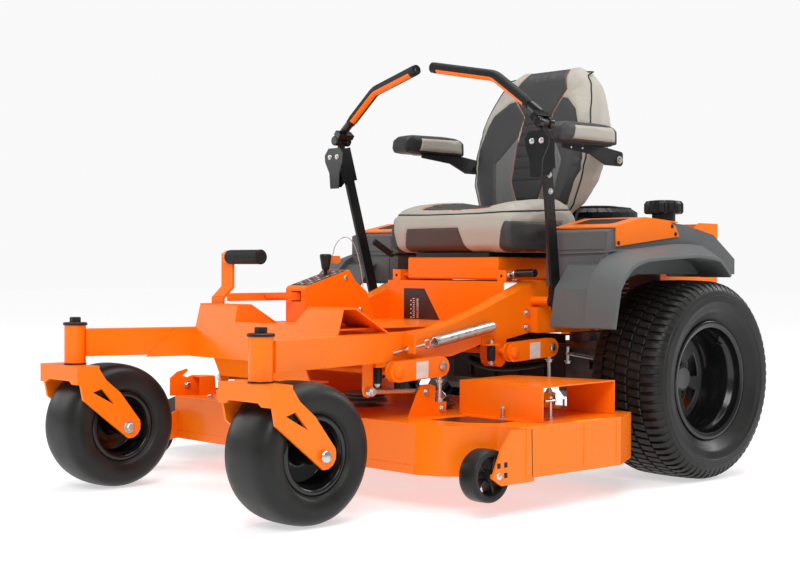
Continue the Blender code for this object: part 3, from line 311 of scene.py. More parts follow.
def sweep(path, section):
    """A closed (sideways, up) section carried along a path; a section can be a function of the
    share of the way along."""
    path = [Vector(place) for place in path]
    up = Vector((0.0, 0.0, 1.0))
    first = (path[1] - path[0]).normalized()
    if abs(first.dot(up)) > 0.9:
        up = Vector((0.0, 1.0, 0.0))
    side = first.cross(up).normalized()
    rings = []
    for index, place in enumerate(path):
        ahead = path[min(index + 1, len(path) - 1)] - path[max(index - 1, 0)]
        ahead.normalize()
        side = (side - ahead * side.dot(ahead)).normalized()
        over = side.cross(ahead)
        outline = section(index / (len(path) - 1)) if callable(section) else section
        rings.append([place + side * a + over * b for a, b in outline])
    return skin(rings)


def circle(radius, sides=12):
    """A round section."""
    return [(radius * math.cos(2 * math.pi * k / sides),
        radius * math.sin(2 * math.pi * k / sides)) for k in range(sides)]


def tube(path, radius, sides=12):
    """A round bar along a path."""
    return sweep(path, circle(radius, sides))


def coil(start, end, radius, wire, turns, per_turn=18, sides=8):
    """A helical spring body."""
    start, end = Vector(start), Vector(end)
    matrix = aim(start, end - start)
    length = (end - start).length
    path = []
    for index in range(int(turns * per_turn) + 1):
        angle = 2.0 * math.pi * index / per_turn
        height = length * index / (turns * per_turn)
        path.append(matrix @ Vector((radius * math.cos(angle), radius * math.sin(angle), height)))
    return tube(path, wire, sides)


def bolt(at, direction, radius, height=None, washer=True):
    """A hexagon head with a chamfered top on a washer."""
    height = height or radius * 0.8
    shapes = []
    base = 0.0
    if washer:
        base = radius * 0.22
        shapes.append(turned([(0, -0.0005), (radius * 1.35, -0.0005), (radius * 1.35, base * 0.8),
            (radius * 1.28, base), (0, base)], 24))
    profile = [(0, base - 0.0002), (radius, base - 0.0002), (radius, base + height * 0.85),
        (radius * 0.85, base + height), (0, base + height)]
    shapes.append(turned(profile, 6))
    return moved(joined(*shapes), aim(at, direction))


def button(at, direction, radius):
    """A domed bolt head."""
    profile = [(0, -0.0005), (radius, -0.0005), (radius, radius * 0.15), (radius * 0.85, radius * 0.38),
        (radius * 0.5, radius * 0.52), (0, radius * 0.56)]
    return lathe(at, direction, profile, 24)


def piece(name, shape, body, finish, side=1, angle=30.0, bevel=0.0, replaces=()):
    """Links a shape into the scene as one object that rides on a body."""
    points, faces = shape
    builder = bmesh.new()
    corners = []
    for point in points:
        corners.append(builder.verts.new((point[0] * side, point[1], point[2])))
    for face in faces:
        try:
            builder.faces.new([corners[index] for index in face])
        except ValueError:
            continue
    bmesh.ops.recalc_face_normals(builder, faces=builder.faces)
    bmesh.ops.translate(builder, vec=ORIGIN, verts=builder.verts)
    mesh = bpy.data.meshes.new(name)
    builder.to_mesh(mesh)
    builder.free()
    mesh.shade_smooth()
    mesh.set_sharp_from_angle(angle=math.radians(angle))
    made = bpy.data.objects.new(name, mesh)
    bpy.context.collection.objects.link(made)
    mesh.materials.append(finish)
    if bevel:
        soften(made, bevel)
    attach(made, body)
    if replaces:
        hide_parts(*replaces)
    return made


def soften(made, width):
    """Rounds an object's sharp edges."""
    rounding = made.modifiers.new("rounding", "BEVEL")
    rounding.width = width
    rounding.segments = 2
    rounding.limit_method = "ANGLE"
    rounding.angle_limit = math.radians(32.0)
    rounding.harden_normals = True


# Wheels ---------------------------------------------------------------------------------
REAR_X = 0.525
REAR_RADIUS = 0.2794
LUG = 0.0074
ROWS = 72


def rear_carcass(t):
    """Radius of the tyre under its lugs, at a distance t from its middle."""
    return REAR_RADIUS - LUG - 0.0002 - 0.3 * t * t


def on_rear(angle, t, radius):
    """A point of the rear tyre, from its angle, its distance t from the middle and its radius."""
    return Vector((REAR_X + t, radius * math.cos(angle), REAR_RADIUS + radius * math.sin(angle)))


def lug_block(angle, centre, half_t, half_s, slant):
    """One tread block: eight corners round its foot, drawn in at the top."""
    outline = [(-half_t, -half_s - slant), (half_t - 0.003, -half_s + slant),
        (half_t, -half_s + slant + 0.003), (half_t, half_s + slant), (-half_t + 0.003, half_s - slant),
        (-half_t, half_s - slant - 0.003)]
    points = []
    for shrink, rise in ((1.0, -0.001), (0.97, LUG * 0.72), (0.86, LUG)):
        for t, s in outline:
            t = centre + t * shrink
            radius = rear_carcass(t) + rise
            points.append(on_rear(angle + s * shrink / REAR_RADIUS, t, radius))
    count = len(outline)
    faces = [tuple(range(2 * count, 3 * count))]
    for level in (0, count):
        for index in range(count):
            after = (index + 1) % count
            faces.append((level + index, level + after, level + count + after, level + count + index))
    return points, faces


SHOULDER = [(0.0665, 0.0), (0.085, 0.0004), (0.098, -0.0015), (0.107, -0.006), (0.1135, -0.013),
    (0.1175, -0.021), (0.1195, -0.03), (0.1208, -0.039)]


def shoulder_bar(angle, hand):
    """A bar of tread that runs over the shoulder and fades out on the sidewall."""
    points = []
    count = len(SHOULDER)
    for index, (t, drop) in enumerate(SHOULDER):
        share = index / (count - 1)
        base = rear_carcass(min(t, 0.095)) + drop
        rise = LUG * (1.0 - share ** 2.2)
        half = 0.0088 - 0.0032 * share
        sweep_back = 0.01 * share * share
        out = Vector((0.25 + share, 1.15 - share)).normalized()
        for s, lift in ((-half, -0.002), (-half * 0.84, rise), (half * 0.84, rise), (half, -0.002)):
            place = on_rear(angle + (s - sweep_back) / REAR_RADIUS,
                hand * (t + out.x * max(lift, 0) * share * 0.4),
                base + lift * out.y if lift > 0 else base + lift)
            points.append(place)
    faces = [(0, 1, 2, 3)]
    for index in range(count - 1):
        for corner in range(3):
            a = index * 4 + corner
            faces.append((a, a + 1, a + 5, a + 4))
    return points, faces


def rear_wheel(label, side):
    """Tyre of a rear wheel: a turned carcass, three columns of blocks and the shoulder bars."""
    body = "rear_wheel_" + label[0]
    profile = [(rear_carcass(t), t) for t in (0.0, 0.03, 0.06, 0.085)]
    profile += [(rear_carcass(0.095) - 0.0018, 0.098), (0.265, 0.107), (0.2575, 0.1135), (0.249, 0.1178),
        (0.2475, 0.1205), (0.238, 0.1222), (0.237, 0.1236), (0.22, 0.124), (0.2185, 0.1228),
        (0.205, 0.1215), (0.193, 0.118), (0.1915, 0.116), (0.18, 0.1085), (0.172, 0.099), (0.169, 0.0965),
        (0.164, 0.0948), (0.15, 0.0945)]
    far_side = [(radius, -t) for radius, t in reversed(profile[1:])]
    ring = profile + [(0.15, 0.08), (0.15, -0.08)] + far_side
    carcass = lathe((REAR_X, 0, REAR_RADIUS), OUT, ring, 120)
    piece("rear_tyre_carcass_" + label, carcass, body, SIDEWALL, side, 40,
        replaces=["rear_tyre_" + label])
    lugs = []
    columns = (-0.043, 0.0, 0.043)
    for row in range(ROWS):
        angle = 2.0 * math.pi * row / ROWS
        pitch = 2.0 * math.pi / ROWS
        for index, column in enumerate(columns):
            shift = pitch * (0.5 if index % 2 else 0.0)
            lugs.append(lug_block(angle + shift, column, 0.0195, 0.0096, 0.0028))
        lugs.append(shoulder_bar(angle + pitch * 0.5, 1))
        lugs.append(shoulder_bar(angle + pitch * 0.5, -1))
    piece("rear_tyre_tread_" + label, joined(*lugs), body, TREAD, side, 28)


def hub_windows(count, inner, outer, width, thickness, hole_low, hole_high, steps=8):
    """A disc with windows: a polar grid without the cells of the windows, given a thickness."""
    radii = [inner, hole_low, (hole_low + hole_high) / 2, hole_high, outer]
    around = count * steps
    points = []
    faces = []
    for level in (0.0, thickness):
        for radius in radii:
            for index in range(around):
                angle = 2.0 * math.pi * index / around
                points.append(Vector((radius * math.cos(angle), radius * math.sin(angle), level)))
    layer = len(radii) * around

    def open_cell(ring, index):
        return 1 <= ring <= 2 and index % steps < width

    for ring in range(len(radii) - 1):
        for index in range(around):
            if open_cell(ring, index):
                continue
            after = (index + 1) % around
            a, b = ring * around + index, ring * around + after
            c, d = (ring + 1) * around + after, (ring + 1) * around + index
            faces += [(a, b, c, d), (layer + d, layer + c, layer + b, layer + a)]
            neighbours = (((ring - 1, index), (a, b)), ((ring + 1, index), (c, d)),
                ((ring, (index - 1) % around), (d, a)), ((ring, after), (b, c)))
            for (near_ring, near_index), (p, q) in neighbours:
                outside = not 0 <= near_ring < len(radii) - 1
                if outside or open_cell(near_ring, near_index):
                    faces.append((p, layer + p, layer + q, q))
    return points, faces


def rear_rim(label, side):
    """Deep rim of a rear wheel with its windowed disc, hub, nuts and valve."""
    body = "rear_wheel_" + label[0]
    node = "rear_rim_" + label
    barrel = [(0.1655, 0.6252), (0.164, 0.6262), (0.156, 0.6262), (0.148, 0.6225), (0.1465, 0.616),
        (0.1455, 0.606), (0.142, 0.599), (0.1375, 0.594), (0.1345, 0.588), (0.1335, 0.572),
        (0.133, 0.556), (0.131, 0.553), (0.131, 0.515), (0.13, 0.506), (0.13, 0.4995), (0.1345, 0.4995),
        (0.1355, 0.556), (0.137, 0.59), (0.14, 0.597), (0.146, 0.603), (0.1495, 0.609), (0.15, 0.619),
        (0.153, 0.6222), (0.165, 0.623)]
    back = [(0.13, 0.5015), (0.133, 0.4925), (0.133, 0.456), (0.14, 0.446), (0.1465, 0.438),
        (0.147, 0.413), (0.153, 0.409), (0.1655, 0.4085), (0.1655, 0.411), (0.154, 0.412),
        (0.1495, 0.415), (0.149, 0.44), (0.142, 0.448), (0.1352, 0.458), (0.1352, 0.4995)]
    shapes = [lathe((0, 0, REAR_RADIUS), OUT, barrel, 96), lathe((0, 0, REAR_RADIUS), OUT, back, 96)]
    piece("rear_rim_barrel_" + label, joined(*shapes), body, GLOSS_BLACK, side, 50, replaces=[node])
    disc = moved(hub_windows(6, 0.03, 0.1305, 5, 0.004, 0.062, 0.112), aim((0.5, 0, REAR_RADIUS), OUT))
    cap = [(0, 0.503), (0.058, 0.503), (0.052, 0.509), (0.043, 0.513), (0.038, 0.522), (0.036, 0.53),
        (0.03, 0.5345), (0, 0.536)]
    piece("rear_rim_disc_" + label, disc, body, HUB_GREY, side, bevel=0.0012)
    piece("rear_hub_" + label, lathe((0, 0, REAR_RADIUS), OUT, cap, 48), body, HUB_GREY, side)
    nuts = []
    for index in range(5):
        angle = 2.0 * math.pi * (index + 0.25) / 5
        place = (0.5085, 0.0485 * math.cos(angle), REAR_RADIUS + 0.0485 * math.sin(angle))
        nuts.append(bolt(place, OUT, 0.0068, 0.008, False))
    angle = math.radians(52)
    foot = Vector((0.59, 0.131 * math.cos(angle), REAR_RADIUS + 0.131 * math.sin(angle)))
    tip = Vector((0.612, 0.122 * math.cos(angle), REAR_RADIUS + 0.122 * math.sin(angle)))
    nuts.append(rod(foot, tip, 0.0042, 12))
    piece("rear_wheel_nuts_" + label, joined(*nuts), body, SATIN_BLACK, side)


CASTER_X = 0.4
AXLE_Y = -1.3025
SWIVEL = (CASTER_X, -1.408, 0)
CASTER_RADIUS = 0.165


def caster_wheel(label, side):
    """Smooth round tyre, rim and hub of a caster."""
    body = "caster_wheel_" + label[0]
    half = [(0.08, 0.06), (0.085, 0.0618), (0.093, 0.0645), (0.096, 0.07), (0.101, 0.0762),
        (0.103, 0.0772), (0.112, 0.0806), (0.126, 0.0822), (0.137, 0.0812), (0.1455, 0.0775),
        (0.152, 0.072), (0.157, 0.065), (0.1605, 0.056), (0.1628, 0.045), (0.1641, 0.033),
        (0.1648, 0.018), (0.165, 0.006)]
    profile = half + [(radius, -reach) for radius, reach in reversed(half)]
    centre = (CASTER_X, AXLE_Y, CASTER_RADIUS)
    piece("caster_tyre_skin_" + label, lathe(centre, OUT, profile, 96), body, SIDEWALL, side, 60,
        replaces=["caster_tyre_" + label])
    rim_half = [(0.03, 0.004), (0.066, 0.006), (0.0705, 0.012), (0.0715, 0.048), (0.074, 0.056),
        (0.0775, 0.06), (0.079, 0.066), (0.083, 0.0685), (0.09, 0.068), (0.0925, 0.0655), (0.092, 0.0625),
        (0.086, 0.062), (0.08, 0.056), (0.076, 0.048), (0.075, 0.006)]
    far_half = [(radius, -reach) for radius, reach in reversed(rim_half)]
    rim = lathe(centre, OUT, rim_half + far_half, 72)
    hub = lathe(centre, OUT, [(0.0102, -0.062), (0.0215, -0.062), (0.023, -0.055), (0.023, -0.012),
        (0.03, -0.004), (0.034, 0.0), (0.03, 0.004), (0.023, 0.012), (0.023, 0.055), (0.0215, 0.062),
        (0.0102, 0.062)], 40)
    piece("caster_rim_skin_" + label, joined(rim, hub), body, GLOSS_BLACK, side, 50,
        replaces=["caster_rim_" + label])


def casters(label, side):
    """A caster wheel with its axle bolt, and the cap, nut and seal on its swivel."""
    caster_wheel(label, side)
    body = "caster_" + label[0]
    bolts = [button((CASTER_X + 0.103, AXLE_Y, CASTER_RADIUS), OUT, 0.0145),
        bolt((CASTER_X - 0.095, AXLE_Y, CASTER_RADIUS), IN, 0.012)]
    piece("caster_axle_bolts_" + label, joined(*bolts), body, ZINC, side)
    cap = lathe(SWIVEL, UP, [(0, 0.4342), (0.0314, 0.4342), (0.032, 0.4362), (0.0316, 0.4402),
        (0.029, 0.4418), (0, 0.442)], 48)
    nut = lathe(SWIVEL, UP, [(0, 0.4418), (0.0146, 0.4418), (0.0146, 0.454), (0.0125, 0.4556),
        (0, 0.4556)], 6)
    piece("caster_cap_" + label, joined(cap, nut), body, SATIN_BLACK, side)
    seam = lathe(SWIVEL, UP, [(0.028, 0.3306), (0.0296, 0.3306), (0.0298, 0.333), (0.029, 0.3346),
        (0.028, 0.3346)], 48)
    piece("caster_seal_" + label, seam, body, SATIN_BLACK, side, 40)

# Springs, levers and linkage ------------------------------------------------------------
def assist_spring(label, side):
    """Coil spring along a rail, hooked to an eye bolt at its front."""
    node = "assist_spring_" + label
    front = Vector((0.3035, -0.767, 0.397))
    back = Vector((0.3035, -0.548, 0.4325))
    along = (back - front).normalized()
    shapes = [coil(front, back, 0.0126, 0.0018, 52, 16, 6)]
    shapes.append(tube(smooth_path([front + Vector((0, 0, 0.0126)),
        front - along * 0.006 + Vector((0, 0, 0.01)), front - along * 0.016,
        front - along * 0.012 - Vector((0, 0, 0.008)), front - along * 0.004 - Vector((0, 0, 0.004))]),
        0.0018, 8))
    eye = [front - along * 0.026 + Vector((0, *place)) for place in circle(0.01, 24)]
    shapes.append(tube(eye + eye[:1], 0.0026, 8))
    shapes.append(rod(front - along * 0.036, front - along * 0.15, 0.0034, 12))
    shapes.append(bolt(front - along * 0.098, -along, 0.0075, 0.006))
    shapes.append(bolt(front - along * 0.092, along, 0.0075, 0.006))
    shapes.append(tube(smooth_path([back - Vector((0, 0, 0.0126)),
        back + along * 0.006 - Vector((0, 0, 0.008)), back + along * 0.014,
        back + along * 0.012 + Vector((-0.006, 0, 0.006)), back + along * 0.01 + Vector((-0.018, 0,
        0.002))]), 0.0018, 8))
    piece("assist_spring_coil_" + label, joined(*shapes), "frame", ZINC, side, 40, replaces=[node])


def idler_spring():
    """Small coil spring that pulls the idler arm."""
    shapes = [coil((0.236, -0.742, 0.258), (0.308, -0.742, 0.258), 0.0098, 0.0017, 13, 18, 8)]
    shapes.append(tube(smooth_path([(0.308, -0.742, 0.2678), (0.316, -0.742, 0.262),
        (0.322, -0.742, 0.256)]), 0.0017, 8))
    shapes.append(bolt((0.226, -0.742, 0.258), OUT, 0.009, 0.01, False))
    piece("idler_spring_coil", joined(*shapes), "deck", ZINC, 1, 40, replaces=["idler_spring"])


LEVER_TOP = Vector((0.414, -0.469, 0.98))
LEVER_FOOT = Vector((0.369, -0.36, 0.47))
LEVER_ARM_TOP = Vector((0.405, -0.447, 0.87))
LEVER_RADIUS = 0.0125
GRIP_RADIUS = 0.0155
BARE_POINTS = 6
# Section of the bright stripe: (degrees below forward, distance from the lever's middle)
STRIPE = [(angle, 0.0162) for angle in range(18, 79, 12)] + [(76, 0.0146), (20, 0.0146)]


def lever(label, side):
    """Lap-bar lever: knuckle, tube, grip with its bright stripe, and the drilled lower arm, its holes
    drawn as discs of painted shade.
    """
    body = "handle_" + label[0]
    path = fillet([LEVER_TOP + Vector((-0.0105, -0.001, 0.026)), (0.246, -0.481, 1.119),
        (0.029, -0.515, 1.16)], 0.06, 10)
    whole = evenly(path, 0.0075)
    steel = tube(whole[:BARE_POINTS + 2], LEVER_RADIUS, 24)
    knuckle = moved(box((-0.013, 0.013), (-0.03, 0.03), (0.0135, 0.03)),
        Matrix.Translation(LEVER_TOP) @ Matrix.Rotation(math.radians(-38), 4, "Y"))
    barrels = []
    for low in (-0.03, 0.0128):
        barrels.append(rod(LEVER_TOP + Vector((0, low, 0)), LEVER_TOP + Vector((0, low + 0.0172, 0)),
            GRIP_RADIUS, 32))
    piece("handle_knuckle_" + label, joined(knuckle, *barrels), body, GLOSS_BLACK, side, bevel=0.0015,
        replaces=["lever_handle_" + label])
    piece("handle_tube_" + label, steel, body, GLOSS_BLACK, side, 40)

    def grip_section(share):
        swell = GRIP_RADIUS if 0.03 < share < 0.985 else 0.0142
        return circle(swell, 28)

    piece("handle_grip_" + label, sweep(whole[BARE_POINTS:], grip_section), body, SOFT_BLACK, side, 40)
    stripe = []
    for index in range(BARE_POINTS + 2, len(whole) - 3):
        ahead = (whole[index + 1] - whole[index - 1]).normalized()
        away = Vector((0, -1, 0)) - ahead * Vector((0, -1, 0)).dot(ahead)
        away.normalize()
        below = ahead.cross(away)
        if below.z > 0:
            below = -below
        ring = []
        for angle, radius in STRIPE:
            turn_by = math.radians(angle)
            ring.append(whole[index] + (away * math.cos(turn_by) + below * math.sin(turn_by)) * radius)
        stripe.append(ring)
    piece("handle_stripe_" + label, skin(stripe), body, ORANGE, side, 40)
    ahead = (whole[-1] - whole[-3]).normalized()
    piece("handle_cap_" + label, lathe(whole[-1], ahead, [(0, -0.002), (0.015, -0.002), (0.015, 0.001),
        (0.0135, 0.0028), (0.006, 0.0034), (0.004, 0.0022), (0, 0.002)], 28), body, SATIN_BLACK, side, 40)
    lower = "lever_" + label[0]
    plate = prism("Y", [(0.392, 0.832), (0.431, 0.832), (0.436, 0.88), (0.456, 0.915), (0.458, 0.936),
        (0.44, 0.957), (0.386, 0.957), (0.372, 0.938), (0.374, 0.914), (0.388, 0.88)], -0.4995, -0.4955)
    fold = prism("X", [(-0.4958, 0.838), (-0.4958, 0.955), (-0.462, 0.958), (-0.436, 0.93),
        (-0.438, 0.862), (-0.462, 0.838)], 0.4205, 0.4245)
    piece("lever_plate_" + label, joined(plate, fold), lower, GLOSS_BLACK, side, bevel=0.0012)
    bolts = []
    for x in (0.3985, 0.432):
        bolts.append(button((x, -0.4995, 0.929), (0, -1, 0), 0.0085))
    for share in (0.93, 0.82):
        at = LEVER_FOOT.lerp(LEVER_ARM_TOP, share)
        bolts.append(bolt(at + Vector((0.0045, 0.002, 0)), (1, 0, -0.09), 0.0062, 0.005))
    bolts.append(bolt((0.38, -0.366, 0.5), OUT, 0.0105, 0.007))
    piece("lever_bolts_" + label, joined(*bolts), lower, ZINC, side)
    # Painted shade: the drilled holes are dark discs that stand for the shade inside them.
    hole_shades = []
    for index in range(9):
        at = LEVER_FOOT.lerp(LEVER_ARM_TOP, 0.76 - 0.045 * index)
        hole_shades.append(lathe(at + Vector((0.0043, 0, 0)), (1, 0, -0.09),
            [(0, 0), (0.0036, 0), (0.0036, 0.0006), (0.0026, 0.0008), (0, 0.0007)], 16))
    piece("lever_hole_shade_" + label, joined(*hole_shades), lower, SOFT_BLACK, side)


# Upholstery -----------------------------------------------------------------------------
def polygon_distance(outline, a, b):
    """Distance of every (a, b) from an outline: positive inside it."""
    nearest = numpy.full(len(a), 1e9)
    inside = numpy.zeros(len(a), bool)
    for (a0, b0), (a1, b1) in zip(outline, outline[1:] + outline[:1]):
        run, rise = a1 - a0, b1 - b0
        share = numpy.clip(((a - a0) * run + (b - b0) * rise) / (run * run + rise * rise), 0.0, 1.0)
        nearest = numpy.minimum(nearest, numpy.hypot(a - a0 - share * run, b - b0 - share * rise))
        if rise:
            crosses = (b0 > b) != (b1 > b)
            inside ^= crosses & (a < a0 + (b - b0) * run / rise)
    return numpy.where(inside, nearest, -nearest)


def mirrored(outline):
    """An outline on the other side of its second axis."""
    return [(-a, b) for a, b in reversed(outline)]


def stuffed(name, shape, voxel, cap):
    """A closed shape remeshed, rounded, blown up like a stuffed cover, and made finer."""
    points, faces = shape
    mesh = bpy.data.meshes.new(name)
    mesh.from_pydata([tuple(point) for point in points], [], faces)
    made = bpy.data.objects.new(name, mesh)
    bpy.context.collection.objects.link(made)
    remesh = made.modifiers.new("remesh", "REMESH")
    remesh.mode = "VOXEL"
    remesh.voxel_size = voxel
    rounded = made.modifiers.new("rounded", "SMOOTH")
    rounded.iterations = 9
    bake(made)
    rest = numpy.array([tuple(vertex.co) for vertex in made.data.vertices])
    cloth = made.modifiers.new("cloth", "CLOTH")
    cloth.settings.use_pressure = True
    cloth.settings.uniform_pressure_force = 4.0
    cloth.settings.effector_weights.gravity = 0.0
    cloth.settings.quality = 4
    cloth.collision_settings.use_collision = False
    for number in range(1, 21):
        bpy.context.scene.frame_set(number)
    bake(made)
    grown = numpy.array([tuple(vertex.co) for vertex in made.data.vertices])
    shift = grown - rest
    length = numpy.linalg.norm(shift, axis=1, keepdims=True)
    capped = rest + shift * numpy.minimum(1.0, cap / numpy.maximum(length, 1e-9))
    made.data.vertices.foreach_set("co", capped.ravel())
    bpy.context.scene.frame_set(1)
    finer = made.modifiers.new("finer", "SUBSURF")
    finer.levels = 1
    finer.render_levels = 1
    bake(made)
    return made


def bake(made):
    """Writes an object's modifiers into its mesh."""
    depsgraph = bpy.context.evaluated_depsgraph_get()
    baked = bpy.data.meshes.new_from_object(made.evaluated_get(depsgraph))
    made.modifiers.clear()
    made.data = baked


def upholster(made, body, node, panels, grooves):
    """Carves the seams and channels of a cushion and stores its panels as signed distances.

    panels is a function of (x, y, z, normal) arrays that gives {name: distance}, and grooves one
    that gives a list of (distance, half width, depth, whether a dark seam is drawn)."""
    mesh = made.data
    count = len(mesh.vertices)
    places = numpy.empty(count * 3)
    normals = numpy.empty(count * 3)
    mesh.vertices.foreach_get("co", places)
    mesh.vertex_normals.foreach_get("vector", normals)
    places = places.reshape(-1, 3)
    normals = normals.reshape(-1, 3)
    x, y, z = places.T
    sunk = numpy.zeros(count)
    seam = numpy.full(count, -1.0)
    for distance, half_width, depth, drawn in grooves(x, y, z, normals):
        share = numpy.clip(1.0 - numpy.abs(distance) / half_width, 0.0, 1.0)
        sunk = numpy.maximum(sunk, depth * share * share * (3.0 - 2.0 * share))
        if drawn:
            seam = numpy.maximum(seam, 0.0009 - numpy.abs(distance))
    values = panels(x, y, z, normals)
    values["seam_line"] = seam
    for label in ("grey_panel", "dark_panel", "black_panel", "brown_panel", "seam_line"):
        layer = mesh.attributes.new(label, "FLOAT", "POINT")
        layer.data.foreach_set("value", values.get(label, numpy.full(count, -1.0)).astype(numpy.float32))
    places = places - normals * sunk[:, None] + numpy.array(ORIGIN)
    mesh.vertices.foreach_set("co", places.ravel())
    mesh.update()
    mesh.shade_smooth()
    mesh.materials.clear()
    mesh.materials.append(VINYL)
    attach(made, body)
    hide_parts(node)


def surface_of(made):
    """A search tree of a finished cushion, in design coordinates."""
    points = [vertex.co - ORIGIN for vertex in made.data.vertices]
    return BVHTree.FromPolygons(points, [tuple(face.vertices) for face in made.data.polygons])


def on_surface(tree, start, direction, lift):
    """Where a ray meets a cushion, lifted off it by a little."""
    place, normal, _, _ = tree.ray_cast(Vector(start), Vector(direction))
    if place is None:
        return None
    return place + normal * lift


def laid(tree, path, direction, lift):
    """A path dropped on a cushion along a direction."""
    found = [on_surface(tree, start, direction, lift) for start in path]
    return [place for place in found if place is not None]


def evenly(path, step):
    """Points an even distance apart along a path."""
    made = [Vector(path[0])]
    left = step
    for start, end in zip(path, path[1:]):
        start, end = Vector(start), Vector(end)
        length = (end - start).length
        at = left
        while at <= length:
            made.append(start.lerp(end, at / length))
            at += step
        left = at - length
    return made


def stitches(path, length=0.0052, gap=0.003):
    """Short raised threads along a path."""
    fine = evenly(path, 0.001)
    step = int((length + gap) * 1000)
    half = int(length * 1000)
    shapes = []
    for index in range(0, len(fine) - half, step):
        part = fine[index:index + half + 1:max(1, half // 2)]
        if len(part) > 1:
            shapes.append(tube(part, 0.0009, 5))
    return joined(*shapes)


def curve_through(table, value):
    """A value read off a table of (place, value) corners."""
    places, values = zip(*table)
    return float(numpy.interp(value, places, values))


BACK_LOW, BACK_TOP = 0.738, 1.213
BACK_HALF = [(0.738, 0.17), (0.78, 0.214), (0.85, 0.243), (0.95, 0.254), (1.03, 0.246), (1.1, 0.226),
    (1.15, 0.203), (1.19, 0.165), (1.213, 0.112)]
BACK_FRONT = [(0.738, -0.078), (0.762, -0.091), (0.85, -0.083), (0.98, -0.053), (1.08, -0.029),
    (1.17, 0.0), (1.195, 0.016), (1.213, 0.036)]
BACK_REAR = [(0.738, -0.05), (0.775, -0.02), (0.88, 0.028), (1.0, 0.063), (1.12, 0.076), (1.19, 0.078),
    (1.213, 0.064)]
HEADREST = [(0.055, 1.064), (0.108, 1.136), (0.08, 1.208), (-0.08, 1.208), (-0.108, 1.136),
    (-0.055, 1.064)]
SPINE = [(0.055, 1.064), (0.068, 0.96), (0.066, 0.86), (0.044, 0.8), (-0.044, 0.8), (-0.066, 0.86),
    (-0.068, 0.96), (-0.055, 1.064)]
SWOOP = [(0.058, 1.062), (0.096, 1.112), (0.118, 1.108), (0.166, 1.07), (0.214, 0.968), (0.212, 0.885),
    (0.176, 0.78), (0.112, 0.78), (0.134, 0.918), (0.07, 1.0)]
SADDLE = [(0.07, 1.0), (0.134, 0.918), (0.112, 0.78), (0.044, 0.78), (0.066, 0.86), (0.068, 0.96)]
CHANNELS = (1.036, 1.004, 0.97, 0.934, 0.898, 0.86)


